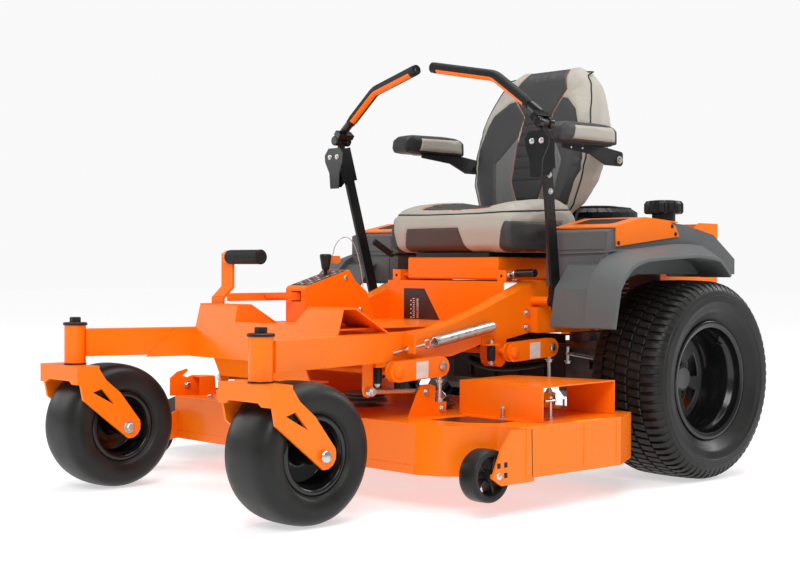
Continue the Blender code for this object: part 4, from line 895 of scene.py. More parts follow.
def seat_back():
    """Backrest: dished, with bolsters, coloured panels, channels, piping and stitching."""
    columns, rows = 25, 22
    points = []
    for surface in (0, 1):
        for row in range(rows):
            z = BACK_LOW + (BACK_TOP - BACK_LOW) * row / (rows - 1)
            half = curve_through(BACK_HALF, z)
            for column in range(columns):
                s = 2.0 * column / (columns - 1) - 1.0
                if surface == 0:
                    bolster = math.exp(-((abs(s) - 0.8) / 0.2) ** 2)
                    dish = 1.0 - min(1.0, abs(s) / 0.6) ** 2
                    fade = 1.0 if z < 1.05 else max(0.0, 1.0 - (z - 1.05) / 0.1)
                    y = curve_through(BACK_FRONT, z) + (0.02 * dish - 0.012 * bolster) * fade
                    y += 0.026 * max(0.0, abs(s) - 0.82) / 0.18
                else:
                    y = curve_through(BACK_REAR, z) - 0.034 * abs(s) ** 4
                points.append(Vector((s * half, y, z)))
    layer = columns * rows
    faces = []
    for row in range(rows - 1):
        for column in range(columns - 1):
            a = row * columns + column
            faces.append((a, a + 1, a + columns + 1, a + columns))
            faces.append((layer + a, layer + a + columns, layer + a + columns + 1, layer + a + 1))
    rim = list(range(columns))
    rim += [row * columns + columns - 1 for row in range(1, rows)]
    rim += [(rows - 1) * columns + column for column in range(columns - 2, -1, -1)]
    rim += [row * columns for row in range(rows - 2, 0, -1)]
    for here, there in zip(rim, rim[1:] + rim[:1]):
        faces.append((here, layer + here, layer + there, there))
    made = stuffed("seat_back_cover", (points, faces), 0.006, 0.006)

    def front_only(distance, normals):
        return numpy.where(normals[:, 1] < 0.15, distance, -1.0)

    def panels(x, y, z, normals):
        swoops = numpy.maximum(polygon_distance(SWOOP, x, z), polygon_distance(mirrored(SWOOP), x, z))
        saddles = numpy.maximum(polygon_distance(SADDLE, x, z), polygon_distance(mirrored(SADDLE), x, z))
        return {"grey_panel": front_only(saddles, normals),
            "black_panel": front_only(polygon_distance(SPINE, x, z), normals),
            "dark_panel": front_only(numpy.maximum(swoops, polygon_distance(HEADREST, x, z)), normals)}

    def grooves(x, y, z, normals):
        lines = []
        for outline in (HEADREST, SPINE, SWOOP, mirrored(SWOOP), SADDLE, mirrored(SADDLE)):
            lines.append((front_only(polygon_distance(outline, x, z), normals), 0.0055, 0.0028, True))
        inside = polygon_distance(SPINE, x, z)
        for level in CHANNELS:
            lines.append((numpy.where((inside > 0.002) & (normals[:, 1] < 0.15), z - level, 1.0), 0.0075,
                0.0036, False))
        half = numpy.interp(z, *zip(*BACK_HALF))
        behind = numpy.where((normals[:, 1] > 0.1), numpy.abs(x) / half - 0.9, 1.0) * 0.25
        lines.append((behind, 0.005, 0.0022, True))
        return lines

    upholster(made, "seat", "seat_back", panels, grooves)
    tree = surface_of(made)
    edge = [(0.888 * curve_through(BACK_HALF, 0.745 + step * 0.012),
        0.745 + step * 0.012) for step in range(38)]
    loop = edge + [(0.1, 1.2075), (0.06, 1.21), (-0.06, 1.21), (-0.1, 1.2075)] + [(-x, z) for x,
        z in reversed(edge)]
    path = laid(tree, [(x, -0.5, z) for x, z in loop], (0, 1, 0), 0.0005)
    piece("seat_back_piping", tube(evenly(smooth_path(path, 3), 0.006), 0.0021, 8), "seat", SOFT_BLACK, 1,
        60)
    threads = []
    for hand in (1, -1):
        spine = [(hand * 0.0575, 1.06), (hand * 0.0715, 0.96), (hand * 0.0695, 0.86),
            (hand * 0.0475, 0.802)]
        head = [(hand * 0.059, 1.066), (hand * 0.112, 1.136), (hand * 0.0845, 1.204)]
        for line in (spine, head):
            path = laid(tree, evenly([(x, -0.5, z) for x, z in line], 0.004), (0, 1, 0), 0.0006)
            threads.append(stitches(path))
    piece("seat_back_stitching", joined(*threads), "seat", STITCH, 1, 60)


CUSHION_MIDDLE_Y = -0.27
CUSHION_HALF_WIDTH = 0.25
CUSHION_SIDE = [(-0.414, 0.64), (-0.428, 0.652), (-0.434, 0.7), (-0.424, 0.738), (-0.392, 0.762),
    (-0.33, 0.776), (-0.25, 0.785), (-0.19, 0.787), (-0.15, 0.772), (-0.118, 0.738), (-0.103, 0.69),
    (-0.106, 0.64)]
TRAPEZOID = [(-0.16, 0.706), (0.05, 0.706), (0.082, 0.63), (-0.18, 0.63)]
DISH = [(-0.14, -0.385), (0.14, -0.385), (0.155, -0.3), (0.135, -0.06), (-0.135, -0.06), (-0.155, -0.3)]


def seat_cushion():
    """Seat cushion with a dished channelled middle, wrapped corners, piping and stitching."""
    columns = 25
    points = []
    for column in range(columns):
        s = 2.0 * column / (columns - 1) - 1.0
        x = CUSHION_HALF_WIDTH * s
        corner = max(0.0, abs(s) - 0.86) / 0.14
        for y, z in CUSHION_SIDE:
            top = max(0.0, (z - 0.7) / 0.088)
            across = 1.0 - min(1.0, abs(s) / 0.62) ** 2
            along = math.sin(math.pi * min(1.0, max(0.0, (y + 0.425) / 0.3)))
            z_new = z - top * (0.022 * across * along + 0.01 * corner ** 2)
            y_new = y + (0.018 if y < CUSHION_MIDDLE_Y else -0.016) * corner ** 2
            points.append(Vector((x, y_new, z_new)))
    count = len(CUSHION_SIDE)
    faces = [tuple(range(count)), tuple(range(len(points) - count, len(points)))[::-1]]
    for column in range(columns - 1):
        for index in range(count):
            after = (index + 1) % count
            a, b = column * count + index, column * count + after
            faces.append((a, a + count, b + count, b))
    made = stuffed("seat_cushion_cover", (points, faces), 0.006, 0.005)

    def wrapped(x, y, z):
        return numpy.minimum(numpy.minimum(0.722 - z, numpy.abs(x) - 0.205 - 0.25 * (z - 0.64)),
            -0.205 - y)

    def panels(x, y, z, normals):
        front = numpy.where(y < -0.39, polygon_distance(TRAPEZOID, x, z), -1.0)
        dish = numpy.where((normals[:, 2] > 0.2) & (z > 0.7), polygon_distance(DISH, x, y), -1.0)
        return {"brown_panel": front, "dark_panel": numpy.maximum(dish, wrapped(x, y, z))}

    def grooves(x, y, z, normals):
        values = panels(x, y, z, normals)
        dish = numpy.where((normals[:, 2] > 0.2) & (z > 0.7), polygon_distance(DISH, x, y), 1.0)
        lines = [(values["brown_panel"], 0.0055, 0.0026, True), (wrapped(x, y, z), 0.0055, 0.0026, True),
            (dish, 0.006, 0.0032, True)]
        for level in (-0.34, -0.3, -0.26, -0.22, -0.18):
            lines.append((numpy.where((dish > 0.002) & (normals[:, 2] > 0.2), y - level, 1.0), 0.008,
                0.0036, False))
        lines.append((numpy.where(y < -0.12, z - 0.746 - 0.06 * (y + 0.42), 1.0), 0.006, 0.002, False))
        return lines

    upholster(made, "seat", "seat_cushion", panels, grooves)
    tree = surface_of(made)
    path = []
    for step in range(61):
        angle = math.radians(-38 + (256.0 * step / 60))
        direction = Vector((math.cos(angle), -math.sin(angle), 0.0))
        start = Vector((0, CUSHION_MIDDLE_Y, 0)) + Vector((direction.x * 0.5, direction.y * 0.5, 0))
        start.z = 0.746 + 0.06 * (max(-0.43, min(-0.11, CUSHION_MIDDLE_Y + direction.y * 0.2)) + 0.42)
        place = on_surface(tree, start, -direction, 0.0004)
        if place:
            path.append(place)
    piece("seat_cushion_piping", tube(evenly(smooth_path(path, 4), 0.006), 0.0021, 8), "seat", SOFT_BLACK,
        1, 60)
    threads = []
    for line in ([(0.144, -0.388), (0.159, -0.3), (0.139, -0.13)],
            [(-0.144, -0.388), (-0.159, -0.3), (-0.139, -0.13)], [(-0.144, -0.389), (0.144, -0.389)]):
        found = laid(tree, evenly([(x, y, 1.0) for x, y in line], 0.004), DOWN, 0.0006)
        threads.append(stitches(found))
    piece("seat_cushion_stitching", joined(*threads), "seat", STITCH, 1, 60)


PAD_SIDE = [(-0.262, 0.955), (-0.252, 0.996), (-0.086, 0.999), (-0.076, 0.99), (-0.074, 0.954)]


def armrest(label, side):
    """Padded armrest on its black bracket."""
    body = "armrest_" + label[0]
    outline = [(-0.318, 0.948), (-0.325, 0.962), (-0.322, 0.986), (-0.3, 1.001), (-0.15, 1.004),
        (-0.082, 1.001), (-0.064, 0.988), (-0.062, 0.948)]
    points, faces = prism("X", outline, 0.2775, 0.3425)
    points = [Vector((point.x * side, point.y, point.z)) for point in points]
    made = stuffed("armrest_pad_" + label, (points, faces), 0.004, 0.003)
    middle = 0.31 * side

    def patch(x, y, z):
        return numpy.minimum(polygon_distance(PAD_SIDE, y, z), numpy.abs(x - middle) - 0.023)

    def panels(x, y, z, normals):
        return {"black_panel": -patch(x, y, z)}

    def grooves(x, y, z, normals):
        return [(numpy.where(numpy.abs(x - middle) > 0.02, patch(x, y, z), 1.0), 0.0045, 0.0018, True)]

    upholster(made, body, "armrest_" + label, panels, grooves)
    plate = prism("X", [(-0.245, 0.9475), (-0.245, 0.934), (-0.12, 0.922), (-0.05, 0.894), (0.02, 0.8935),
        (0.0285, 0.902), (0.0285, 0.931), (0.022, 0.9365), (-0.07, 0.9475)], 0.2835, 0.2905)
    flange = box((0.2835, 0.33), (-0.245, -0.075), (0.944, 0.9478))
    stub = rod((0.262, 0.01, 0.912), (0.2845, 0.01, 0.912), 0.0115, 24)
    piece("armrest_bracket_" + label, joined(plate, flange, stub), body, SATIN_BLACK, side, bevel=0.001)
    bolts = [bolt((0.2905, 0.01, 0.912), OUT, 0.0085, 0.006)]
    bolts += [button((0.2905, y, 0.938), OUT, 0.004) for y in (-0.21, -0.16)]
    piece("armrest_bolts_" + label, joined(*bolts), body, ZINC, side)


# Small parts ----------------------------------------------------------------------------
def plate_on(axis, outline, face, thickness):
    """A thin plate that stands off a face by its thickness."""
    low, high = sorted((face - 0.0002 if thickness > 0 else face + 0.0002, face + thickness))
    return prism(axis, outline, low, high)


def rectangle(a, b, half_a, half_b):
    """A rectangle's outline, from its middle and half sizes."""
    return [(a - half_a, b - half_b), (a + half_a, b - half_b), (a + half_a, b + half_b),
        (a - half_a, b + half_b)]


def rail_details(label, side):
    """Bolts, rubber stops and labels along a rail and its lift links."""
    steel = [bolt((RAIL_FACE, -0.394, 0.466), OUT, 0.0078), bolt((RAIL_FACE, -0.394, 0.426), OUT, 0.0078)]
    steel.append(lathe((0.298, -0.961, 0.29), UP, [(0, 0), (0.004, 0), (0.004, 0.063), (0, 0.063)], 12))
    steel.append(bolt((0.298, -0.961, 0.2985), DOWN, 0.0068, 0.005))
    steel.append(lathe((0.304, -0.553, 0.33), UP, [(0, 0), (0.004, 0), (0.004, 0.066), (0, 0.066)], 12))
    steel.append(bolt((0.304, -0.553, 0.3345), DOWN, 0.0068, 0.005))
    steel.append(bolt((0.304, -0.553, 0.3865), UP, 0.0068, 0.005))
    piece("rail_bolts_" + label, joined(*steel), "frame", ZINC, side)
    stops = []
    for place, low, high in (((0.298, -0.961), 0.299, 0.34), ((0.304, -0.553), 0.34, 0.3815)):
        profile = [(0, low), (0.0098, low), (0.0112, low + 0.003), (0.0118, (low + high) / 2),
            (0.0112, high - 0.003), (0.0098, high), (0, high)]
        stops.append(lathe((*place, 0), UP, profile, 32))
    piece("rubber_stops_" + label, joined(*stops), "frame", SOFT_BLACK, side, 40)
    ledge = joined(box((0.2872, 0.318), (-0.574, -0.532), (0.3815, 0.3855)),
        box((0.2872, 0.291), (-0.574, -0.532), (0.382, 0.404)), box((0.286, 0.312), (-0.978, -0.944),
        (0.34, 0.3525)))
    piece("stop_ledges_" + label, ledge, "frame", ORANGE, side, bevel=0.0012)
    for body, (y, z) in (("front_lift", (-0.93, 0.3285)), ("rear_lift", (-0.5, 0.363))):
        pins = [lathe((LINK_FACE, y + 0.155, z + 0.008), OUT, [(0, 0), (0.0105, 0), (0.0118, 0.0012),
            (0.0118, 0.0042), (0.0095, 0.0056), (0, 0.0058)], 28)]
        piece(f"link_pin_{body}_{label}", joined(*pins), body, ZINC, side, 40)
        boss = [lathe((LINK_FACE, y, z), OUT, [(0, 0), (0.015, 0), (0.015, 0.004), (0.0125, 0.0052),
            (0, 0.0052)], 32), lathe((0.317, y, z), OUT, [(0, 0), (0.02, 0), (0.0215, 0.001),
            (0.0215, 0.002), (0, 0.002)], 32)]
        piece(f"link_boss_{body}_{label}", joined(*boss), body, ORANGE, side, 40)
        pad = plate_on("X", [(y + 0.062, z - 0.02), (y + 0.104, z - 0.018), (y + 0.104, z + 0.025),
            (y + 0.062, z + 0.023)], LINK_FACE, 0.0006)
        piece(f"link_label_{body}_{label}", pad, body, PALE_INK, side)
    deck_steel = []
    for y, top in ((-0.775, 0.322), (-0.345, 0.358)):
        deck_steel.append(rod((0.33, y, 0.2455), (0.33, y, top - 0.008), 0.0064 if y < -0.5 else 0.0052,
            20))
        deck_steel.append(bolt((0.33, y, 0.245), UP, 0.0092, 0.0065))
        deck_steel.append(bolt((0.33, y, top - 0.02), DOWN, 0.0092, 0.0065))
        deck_steel.append(bolt((0.3416, y - 0.001, 0.228), OUT, 0.0082, 0.006))
    deck_steel.append(bolt((0.3245, -0.817, 0.272), OUT, 0.008, 0.006))
    deck_steel.append(button((SKIRT_FACE, -0.915, 0.1015), OUT, 0.0085))
    piece("hanger_rods_" + label, joined(*deck_steel), "deck", ZINC, side)
    drag = [bolt((0.3175, -0.996, 0.281), OUT, 0.0082, 0.006), bolt((0.3175, -0.796, 0.273), OUT, 0.007,
        0.004)]
    piece("drag_bolts_" + label, joined(*drag), "drag_" + label[0], ZINC, side)


def cover_details(label, side):
    """Bolts round a belt cover and the edges of the deck."""
    steel = []
    for x, y in ((0.503, -0.722), (0.6, -0.651), (0.574, -0.384), (0.44, -0.412)):
        steel.append(bolt((x, y, DECK_TOP), UP, 0.0078, 0.006))
        steel.append(rod((x, y, 0.215), (x, y, 0.238), 0.0032, 12))
    steel.append(rod((0.6, -0.651, 0.215), (0.6, -0.651, 0.258), 0.0036, 12))
    steel.append(rod((0.6, -0.673, 0.2585), (0.6, -0.629, 0.2585), 0.004, 12))
    steel.append(bolt((0.503, -0.722, 0.236), UP, 0.0064, 0.006, False))
    piece("cover_bolts_" + label, joined(*steel), "deck", ZINC, side)
    flange = joined(prism("Z", [(0.345, -0.7045), (0.6, -0.7135), (0.585, -0.733), (0.36, -0.724)],
        0.2101, 0.2132), prism("Z", [(0.31, -0.466), (0.6, -0.397), (0.594, -0.374), (0.306, -0.445)],
        0.2101, 0.2132))
    piece("cover_flanges_" + label, flange, "deck", ORANGE, side, bevel=0.0006)
    patch = plate_on("Z", [(0.395, -0.87), (0.398, -0.742), (0.56, -0.742), (0.56, -0.8), (0.5, -0.85)],
        DECK_TOP, 0.0006)
    piece("deck_label_" + label, patch, "deck", LABEL, side)


def deck_details():
    """Holes and a slit in the deck's skirts as dark patches of painted shade, and the skirts' seams and
    folds.
    """
    # Painted shade: flat dark patches stand for the shade seen inside three holes and a slit in the
    # skirt.
    dark = [plate_on("X", rectangle(y, z, 0.0056, 0.0062), SKIRT_FACE, 0.0004) for y,
        z in ((-0.915, 0.1265), (-0.891, 0.127), (-0.891, 0.1025))]
    dark.append(plate_on("X", [(-0.8025, 0.205), (-0.8005, 0.205), (-0.7965, 0.09), (-0.7985, 0.09)],
        0.6722, 0.0004))
    piece("deck_hole_shade", joined(*dark), "deck", SOFT_BLACK)
    seams = [tube([(0.6722, y, 0.1), (0.6722, y, 0.203)], 0.0016, 8) for y in (-0.606, -0.478)]
    seams.append(prism("Y", [(-0.568, 0.0885), (0.448, 0.0885), (0.448, 0.11), (-0.568, 0.11)], -0.9768,
        -0.9748))
    lip = [(-0.845, DECK_TOP), (-0.82, DECK_TOP), (-0.46, DECK_TOP)]
    seams.append(tube([(SKIRT_FACE, y, z - 0.0006) for y, z in lip], 0.002, 10))
    seams.append(tube([(-0.57, -0.9735, 0.2092), (0.45, -0.9735, 0.2092)], 0.002, 10))
    piece("deck_folds", joined(*seams), "deck", ORANGE, 1, 40, bevel=0.0006)
    mark = plate_on("Z", [(0.655, -0.632), (0.661, -0.632), (0.661, -0.52), (0.655, -0.52)], DECK_TOP,
        0.0005)
    piece("deck_mark", mark, "deck", YELLOW_INK)
    bracket = [prism("X", [(-0.985, 0.2098), (-0.985, 0.262), (-0.96, 0.28), (-0.925, 0.288),
        (-0.921, 0.281), (-0.94, 0.268), (-0.925, 0.262), (-0.905, 0.268), (-0.85, 0.266),
        (-0.845, 0.2098)], -0.585, -0.581)]
    bracket.append(prism("X", [(-0.905, 0.2098), (-0.905, 0.266), (-0.85, 0.264), (-0.845, 0.2098)],
        -0.548, -0.544))
    bracket.append(box((-0.584, -0.545), (-0.905, -0.85), (0.262, 0.266)))
    piece("deck_front_bracket", joined(*bracket), "deck", ORANGE, bevel=0.001)
    piece("deck_bracket_bolt", joined(bolt((-0.5805, -0.925, 0.24), OUT, 0.0085),
        bolt((-0.46, -0.93, DECK_TOP), UP, 0.0085), bolt((-0.3, -0.945, DECK_TOP), UP, 0.0085)), "deck",
        ZINC)


def tower_details():
    """Height-of-cut scale on the tower and the damper under the seat."""
    face = TOWER_FACE
    scale = prism("Y", [(-0.165, 0.529), (-0.078, 0.529), (-0.014, 0.4385), (-0.165, 0.4385)],
        face - 0.0006, face + 0.0004)
    piece("tower_scale", scale, "frame", LABEL)
    slot = prism("Y", rectangle(-0.1065, 0.47, 0.0042, 0.029), face - 0.0011, face)
    piece("tower_slot", slot, "frame", ZINC, bevel=0.0008)
    ticks = [prism("Y", rectangle(-0.1215 - 0.0012 * (index % 2), 0.443 + 0.0062 * index,
        0.0036 + 0.0012 * (index % 2), 0.001), face - 0.0009, face) for index in range(10)]
    ticks += [prism("Y", rectangle(-0.134, 0.443 + 0.0124 * index, 0.0022, 0.002), face - 0.0009,
        face) for index in range(5)]
    piece("tower_ticks", joined(*ticks), "frame", PALE_INK)
    damper = [rod((0.247, -0.392, 0.5745), (0.318, -0.392, 0.577), 0.0118, 28)]
    piece("seat_damper", joined(*damper), "frame", GLOSS_BLACK)
    ball = [lathe((0.24, -0.392, 0.5742), OUT, [(0, -0.0095), (0.006, -0.0075), (0.0092, -0.002),
        (0.0092, 0.0022), (0.0062, 0.0072), (0.0045, 0.008), (0, 0.008)], 28)]
    ball += [bolt((hand * 0.2212, -0.392, 0.569), (hand, 0, 0), 0.0082, 0.005) for hand in (1, -1)]
    piece("seat_hinge_bolts", joined(*ball), "frame", ZINC)
    ears = []
    for hand in (1, -1):
        low, high = sorted((hand * 0.198, hand * 0.232))
        ears.append(prism("Y", [(low, 0.55), (high, 0.55), (high, 0.583), (low, 0.586)], -0.4185, -0.415))
    piece("seat_ears", joined(*ears), "frame", ORANGE, bevel=0.001)
    # Painted shade: dark discs stand for the shade inside the holes of the seat's ears.
    hole_shades = [lathe((hand * 0.215, -0.4186, 0.568), (0, -1, 0), [(0, 0), (0.0042, 0), (0.0042, 0.0006),
        (0.003, 0.0008), (0, 0.0006)], 20) for hand in (1, -1)]
    piece("seat_ear_hole_shade", joined(*hole_shades), "frame", SOFT_BLACK)


def console_details():
    """Height chart on the console, the pin's latch plate and the console's bolt."""
    start, end = Vector((0, -0.838, 0.5372)), Vector((0, -0.682, 0.5832))
    along = (end - start).normalized()
    over = Vector((0, -along.z, along.y))

    def on_top(x, share, half_x, half_run, lift):
        middle = start.lerp(end, share)
        return skin([[middle + along * run + over * level + Vector((dx, 0, 0)) for dx,
            run in rectangle(x, 0.0, half_x, half_run)] for level in (-0.0002, lift)])

    piece("console_chart", on_top(-0.1725, 0.5, 0.037, 0.074, 0.0006), "frame", SATIN_BLACK)
    pale, bright = [], []
    for column in range(3):
        for row in range(9):
            share = 0.12 + 0.092 * row
            x = -0.1965 + 0.024 * column
            if abs(x + 0.1725) < 0.012 and 0.56 < share < 0.78:
                continue
            (pale if (row + column) % 2 else bright).append(on_top(x - 0.004, share, 0.003, 0.0038,
                0.0009))
            pale.append(on_top(x + 0.0035, share, 0.001, 0.0038, 0.0009))
    piece("console_digits_pale", joined(*pale), "frame", PALE_INK)
    piece("console_digits_orange", joined(*bright), "frame", RED_INK)
    latch = joined(prism("Y", [(-0.2165, 0.568), (-0.2, 0.573), (-0.2, 0.624), (-0.207, 0.628),
        (-0.2165, 0.626), (-0.231, 0.612), (-0.231, 0.6), (-0.2165, 0.598)], -0.702, -0.698),
        prism("Y", [(-0.2005, 0.6), (-0.156, 0.6005), (-0.15, 0.605), (-0.15, 0.619), (-0.154, 0.6235),
        (-0.2005, 0.623)], -0.702, -0.698))
    piece("console_latch", latch, "frame", ORANGE, bevel=0.0012)
    piece("console_bolts", joined(button((-0.13, -0.696, 0.559), OUT, 0.008),
        bolt((-0.13, -0.64, 0.47), OUT, 0.0065)), "frame", ZINC)
    sleeve = moved(box((-0.014, 0.014), (-0.03, 0.03), (-0.0045, 0.005)),
        Matrix.Translation((-0.1915, -0.905, 0.5084)) @ Matrix.Rotation(math.radians(-16.5), 4, "Z"))
    piece("push_rod_sleeve", sleeve, "push_rod", ORANGE, bevel=0.001)
    knob = lathe((-0.1725, -0.735, 0), UP, [(0, 0.5835), (0.0104, 0.5835), (0.012, 0.59), (0.017, 0.6215),
        (0.0168, 0.624), (0.0145, 0.6276), (0, 0.6282)], 40)
    piece("pin_knob", knob, "pin", SATIN_BLACK, 1, 40)


def pedal_details():
    """Ribbed rubber sleeve with a ringed end on the pedal's grip."""
    y, z = -1.015, 0.617
    profile = [(0.0, 0.011), (0.0175, 0.011), (0.019, 0.0125)]
    for index in range(15):
        at = 0.016 + 0.0085 * index
        profile += [(0.019, at), (0.0197, at + 0.0012), (0.0197, at + 0.0052), (0.019, at + 0.0064)]
    profile += [(0.0192, 0.145), (0.0202, 0.1462), (0.0202, 0.152), (0.019, 0.154), (0.0125, 0.1546),
        (0.011, 0.1526), (0.0, 0.1524)]
    piece("pedal_sleeve", lathe((-0.262, y, z), OUT, profile, 40), "pedal", SOFT_BLACK, 1, 35)
    steel = [bolt((-0.2865, -1.045, 0.433), IN, 0.0075, 0.005)]
    piece("pedal_bolts", joined(*steel), "pedal", ZINC)


FLARE = [((-0.4262, 0.433), 0.004), ((-0.418, 0.475), 0.006), ((-0.405, 0.535), 0.01),
    ((-0.384, 0.566), 0.014), ((-0.35, 0.596), 0.018), ((-0.315, 0.609), 0.021), ((-0.28, 0.617), 0.023),
    ((-0.165, 0.6245), 0.026), ((-0.05, 0.63), 0.03), ((0.01, 0.6255), 0.036), ((0.05, 0.618), 0.043),
    ((0.08, 0.597), 0.052), ((0.105, 0.572), 0.06)]


def flare(label, side):
    """Rounded flare over the tyre, from the crease on the fender's side to its lip."""
    rings = []
    for index, ((y, z), rise) in enumerate(FLARE):
        before = Vector(FLARE[max(index - 1, 0)][0])
        after = Vector(FLARE[min(index + 1, len(FLARE) - 1)][0])
        run = (after - before).normalized()
        out = Vector((-run.y, run.x))
        here = Vector((y, z))
        section = [(0.519, -0.0085), (0.519, rise), (0.542, rise), (0.55, rise - 0.0015),
            (0.588, rise * 0.45 + 0.001), (0.617, 0.0035), (0.6215, 0.002), (0.6225, -0.001),
            (0.6225, -0.0085)]
        rings.append([Vector((x, *(here + out * level))) for x, level in section])
    piece("fender_flare_" + label, skin(rings), "frame", PLASTIC, side, 32, bevel=0.0015)
    front = joined(prism("Y", [(0.33, 0.64), (0.512, 0.642), (0.512, 0.692), (0.338, 0.688)], -0.3325,
        -0.3295), prism("Y", [(0.342, 0.548), (0.498, 0.545), (0.512, 0.628), (0.342, 0.62)], -0.3325,
        -0.3295))
    piece("fender_front_panels_" + label, front, "frame", PLASTIC, side, bevel=0.004)
    ridge = tube([(0.332, -0.332, 0.63), (0.512, -0.332, 0.6345), (0.5215, -0.322, 0.636),
        (0.5215, -0.24, 0.642)], 0.003, 10)
    piece("fender_ridge_" + label, ridge, "frame", PLASTIC, side, 40)
    screws = [button((0.5244, y, z), OUT, 0.006) for y, z in ((-0.288, 0.66), (-0.046, 0.7105),
        (-0.03, 0.689))]
    piece("fender_screws_" + label, joined(*screws), "frame", SATIN_BLACK, side)
    tray = [(0.345, -0.262), (0.47, -0.262), (0.482, -0.252), (0.482, -0.188), (0.345, -0.188)]

    def on_tray(x, y, lift):
        return Vector((x, y, 0.7042 + 0.0288 * (y + 0.305) / 0.135 + lift))

    mat = skin([[on_tray(x, y, lift) for x, y in tray] for lift in (-0.0002, 0.0006)])
    piece("fender_tray_mat_" + label, mat, "frame", SOFT_BLACK, side)
    rim = [Vector((0.42 + 0.0385 * math.cos(a), -0.12 + 0.0385 * math.sin(a),
        0.0)) for a in [2 * math.pi * k / 48 for k in range(49)]]
    for place in rim:
        place.z = 0.7335 - (place.y + 0.17) * 0.062 if place.y > -0.17 else 0.7335
    piece("cup_rim_" + label, tube(rim, 0.0018, 8), "frame", SOFT_BLACK, side, 60)


def fuel_cap():
    """Lobed fuel cap."""
    levels = [(0.034, 0.7135, 0.0), (0.034, 0.75, 0.0), (0.0525, 0.7515, 0.4), (0.055, 0.756, 1.0),
        (0.055, 0.78, 1.0), (0.05, 0.7885, 0.6), (0.03, 0.7912, 0.0)]
    sides = 96
    rings = []
    for radius, z, lobe in levels:
        ring = []
        for index in range(sides):
            angle = 2 * math.pi * index / sides
            wave = 0.0022 * lobe * (1.0 if math.cos(12 * angle) > -0.35 else -1.3)
            ring.append(Vector((0.405 + (radius + wave) * math.cos(angle),
                0.075 + (radius + wave) * math.sin(angle), z)))
        rings.append(ring)
    piece("fuel_cap_lobes", skin(rings), "fuel_cap_turn", ENGINE, replaces=["fuel_cap"])


def engine_details():
    """Screen over the fan, cast fins, ribs, pipes and muffler seams of the engine."""
    vanes = []
    for index in range(24):
        angle = 2 * math.pi * index / 24
        start = Vector((0.04 * math.cos(angle), ENGINE_Y + 0.04 * math.sin(angle), 0.7905))
        bend = Vector((0.1 * math.cos(angle + 0.12), ENGINE_Y + 0.1 * math.sin(angle + 0.12), 0.7845))
        end = Vector((0.126 * math.cos(angle + 0.16), ENGINE_Y + 0.126 * math.sin(angle + 0.16), 0.769))
        vanes.append(tube([start, bend, end], 0.0022, 6))
    for radius, z in ((0.06, 0.7895), (0.085, 0.7865), (0.106, 0.7838)):
        ring = [(radius * math.cos(a), ENGINE_Y + radius * math.sin(a),
            z) for a in [2 * math.pi * k / 48 for k in range(49)]]
        vanes.append(tube(ring, 0.0018, 6))
    piece("engine_screen", joined(*vanes), "crank", ENGINE, 1, 60)
    ribs = []
    for index in range(36):
        angle = 2 * math.pi * index / 36
        out = Vector((math.cos(angle), math.sin(angle), 0))
        ribs.append(tube([Vector((0, ENGINE_Y, 0.635)) + out * 0.17,
            Vector((0, ENGINE_Y, 0.7)) + out * 0.1722], 0.0024, 6))
    piece("engine_ribs", joined(*ribs), "frame", ENGINE, 1, 60)
    fins = []
    for hand in (1, -1):
        turn_by = Matrix.Translation((0, 0.29, 0.54)) @ Matrix.Rotation(math.radians(45 * hand), 4, "Z")
        for index in range(7):
            z = -0.04 + 0.0135 * index
            fins.append(moved(box((-0.0625, 0.0625), (-0.219, -0.112), (z, z + 0.004)), turn_by))
    piece("engine_fins", joined(*fins), "frame", CASTING, bevel=0.0008)
    pipes = [tube(fillet([(0.055, 0.395, 0.535), (0.055, 0.425, 0.535), (0.055, 0.44, 0.5)], 0.02), 0.013,
        20), tube(fillet([(-0.055, 0.395, 0.535), (-0.055, 0.425, 0.535), (-0.055, 0.44, 0.5)], 0.02),
        0.013, 20)]
    piece("exhaust_pipes", joined(*pipes), "frame", ZINC, 1, 50)
    seams = [lathe((x, 0.44, 0.545), OUT, [(0.047, -0.002), (0.05, -0.002), (0.0505, 0.0), (0.05, 0.002),
        (0.047, 0.002)], 40) for x in (-0.165, -0.06, 0.06, 0.165)]
    piece("muffler_seams", joined(*seams), "frame", ENGINE, 1, 50)


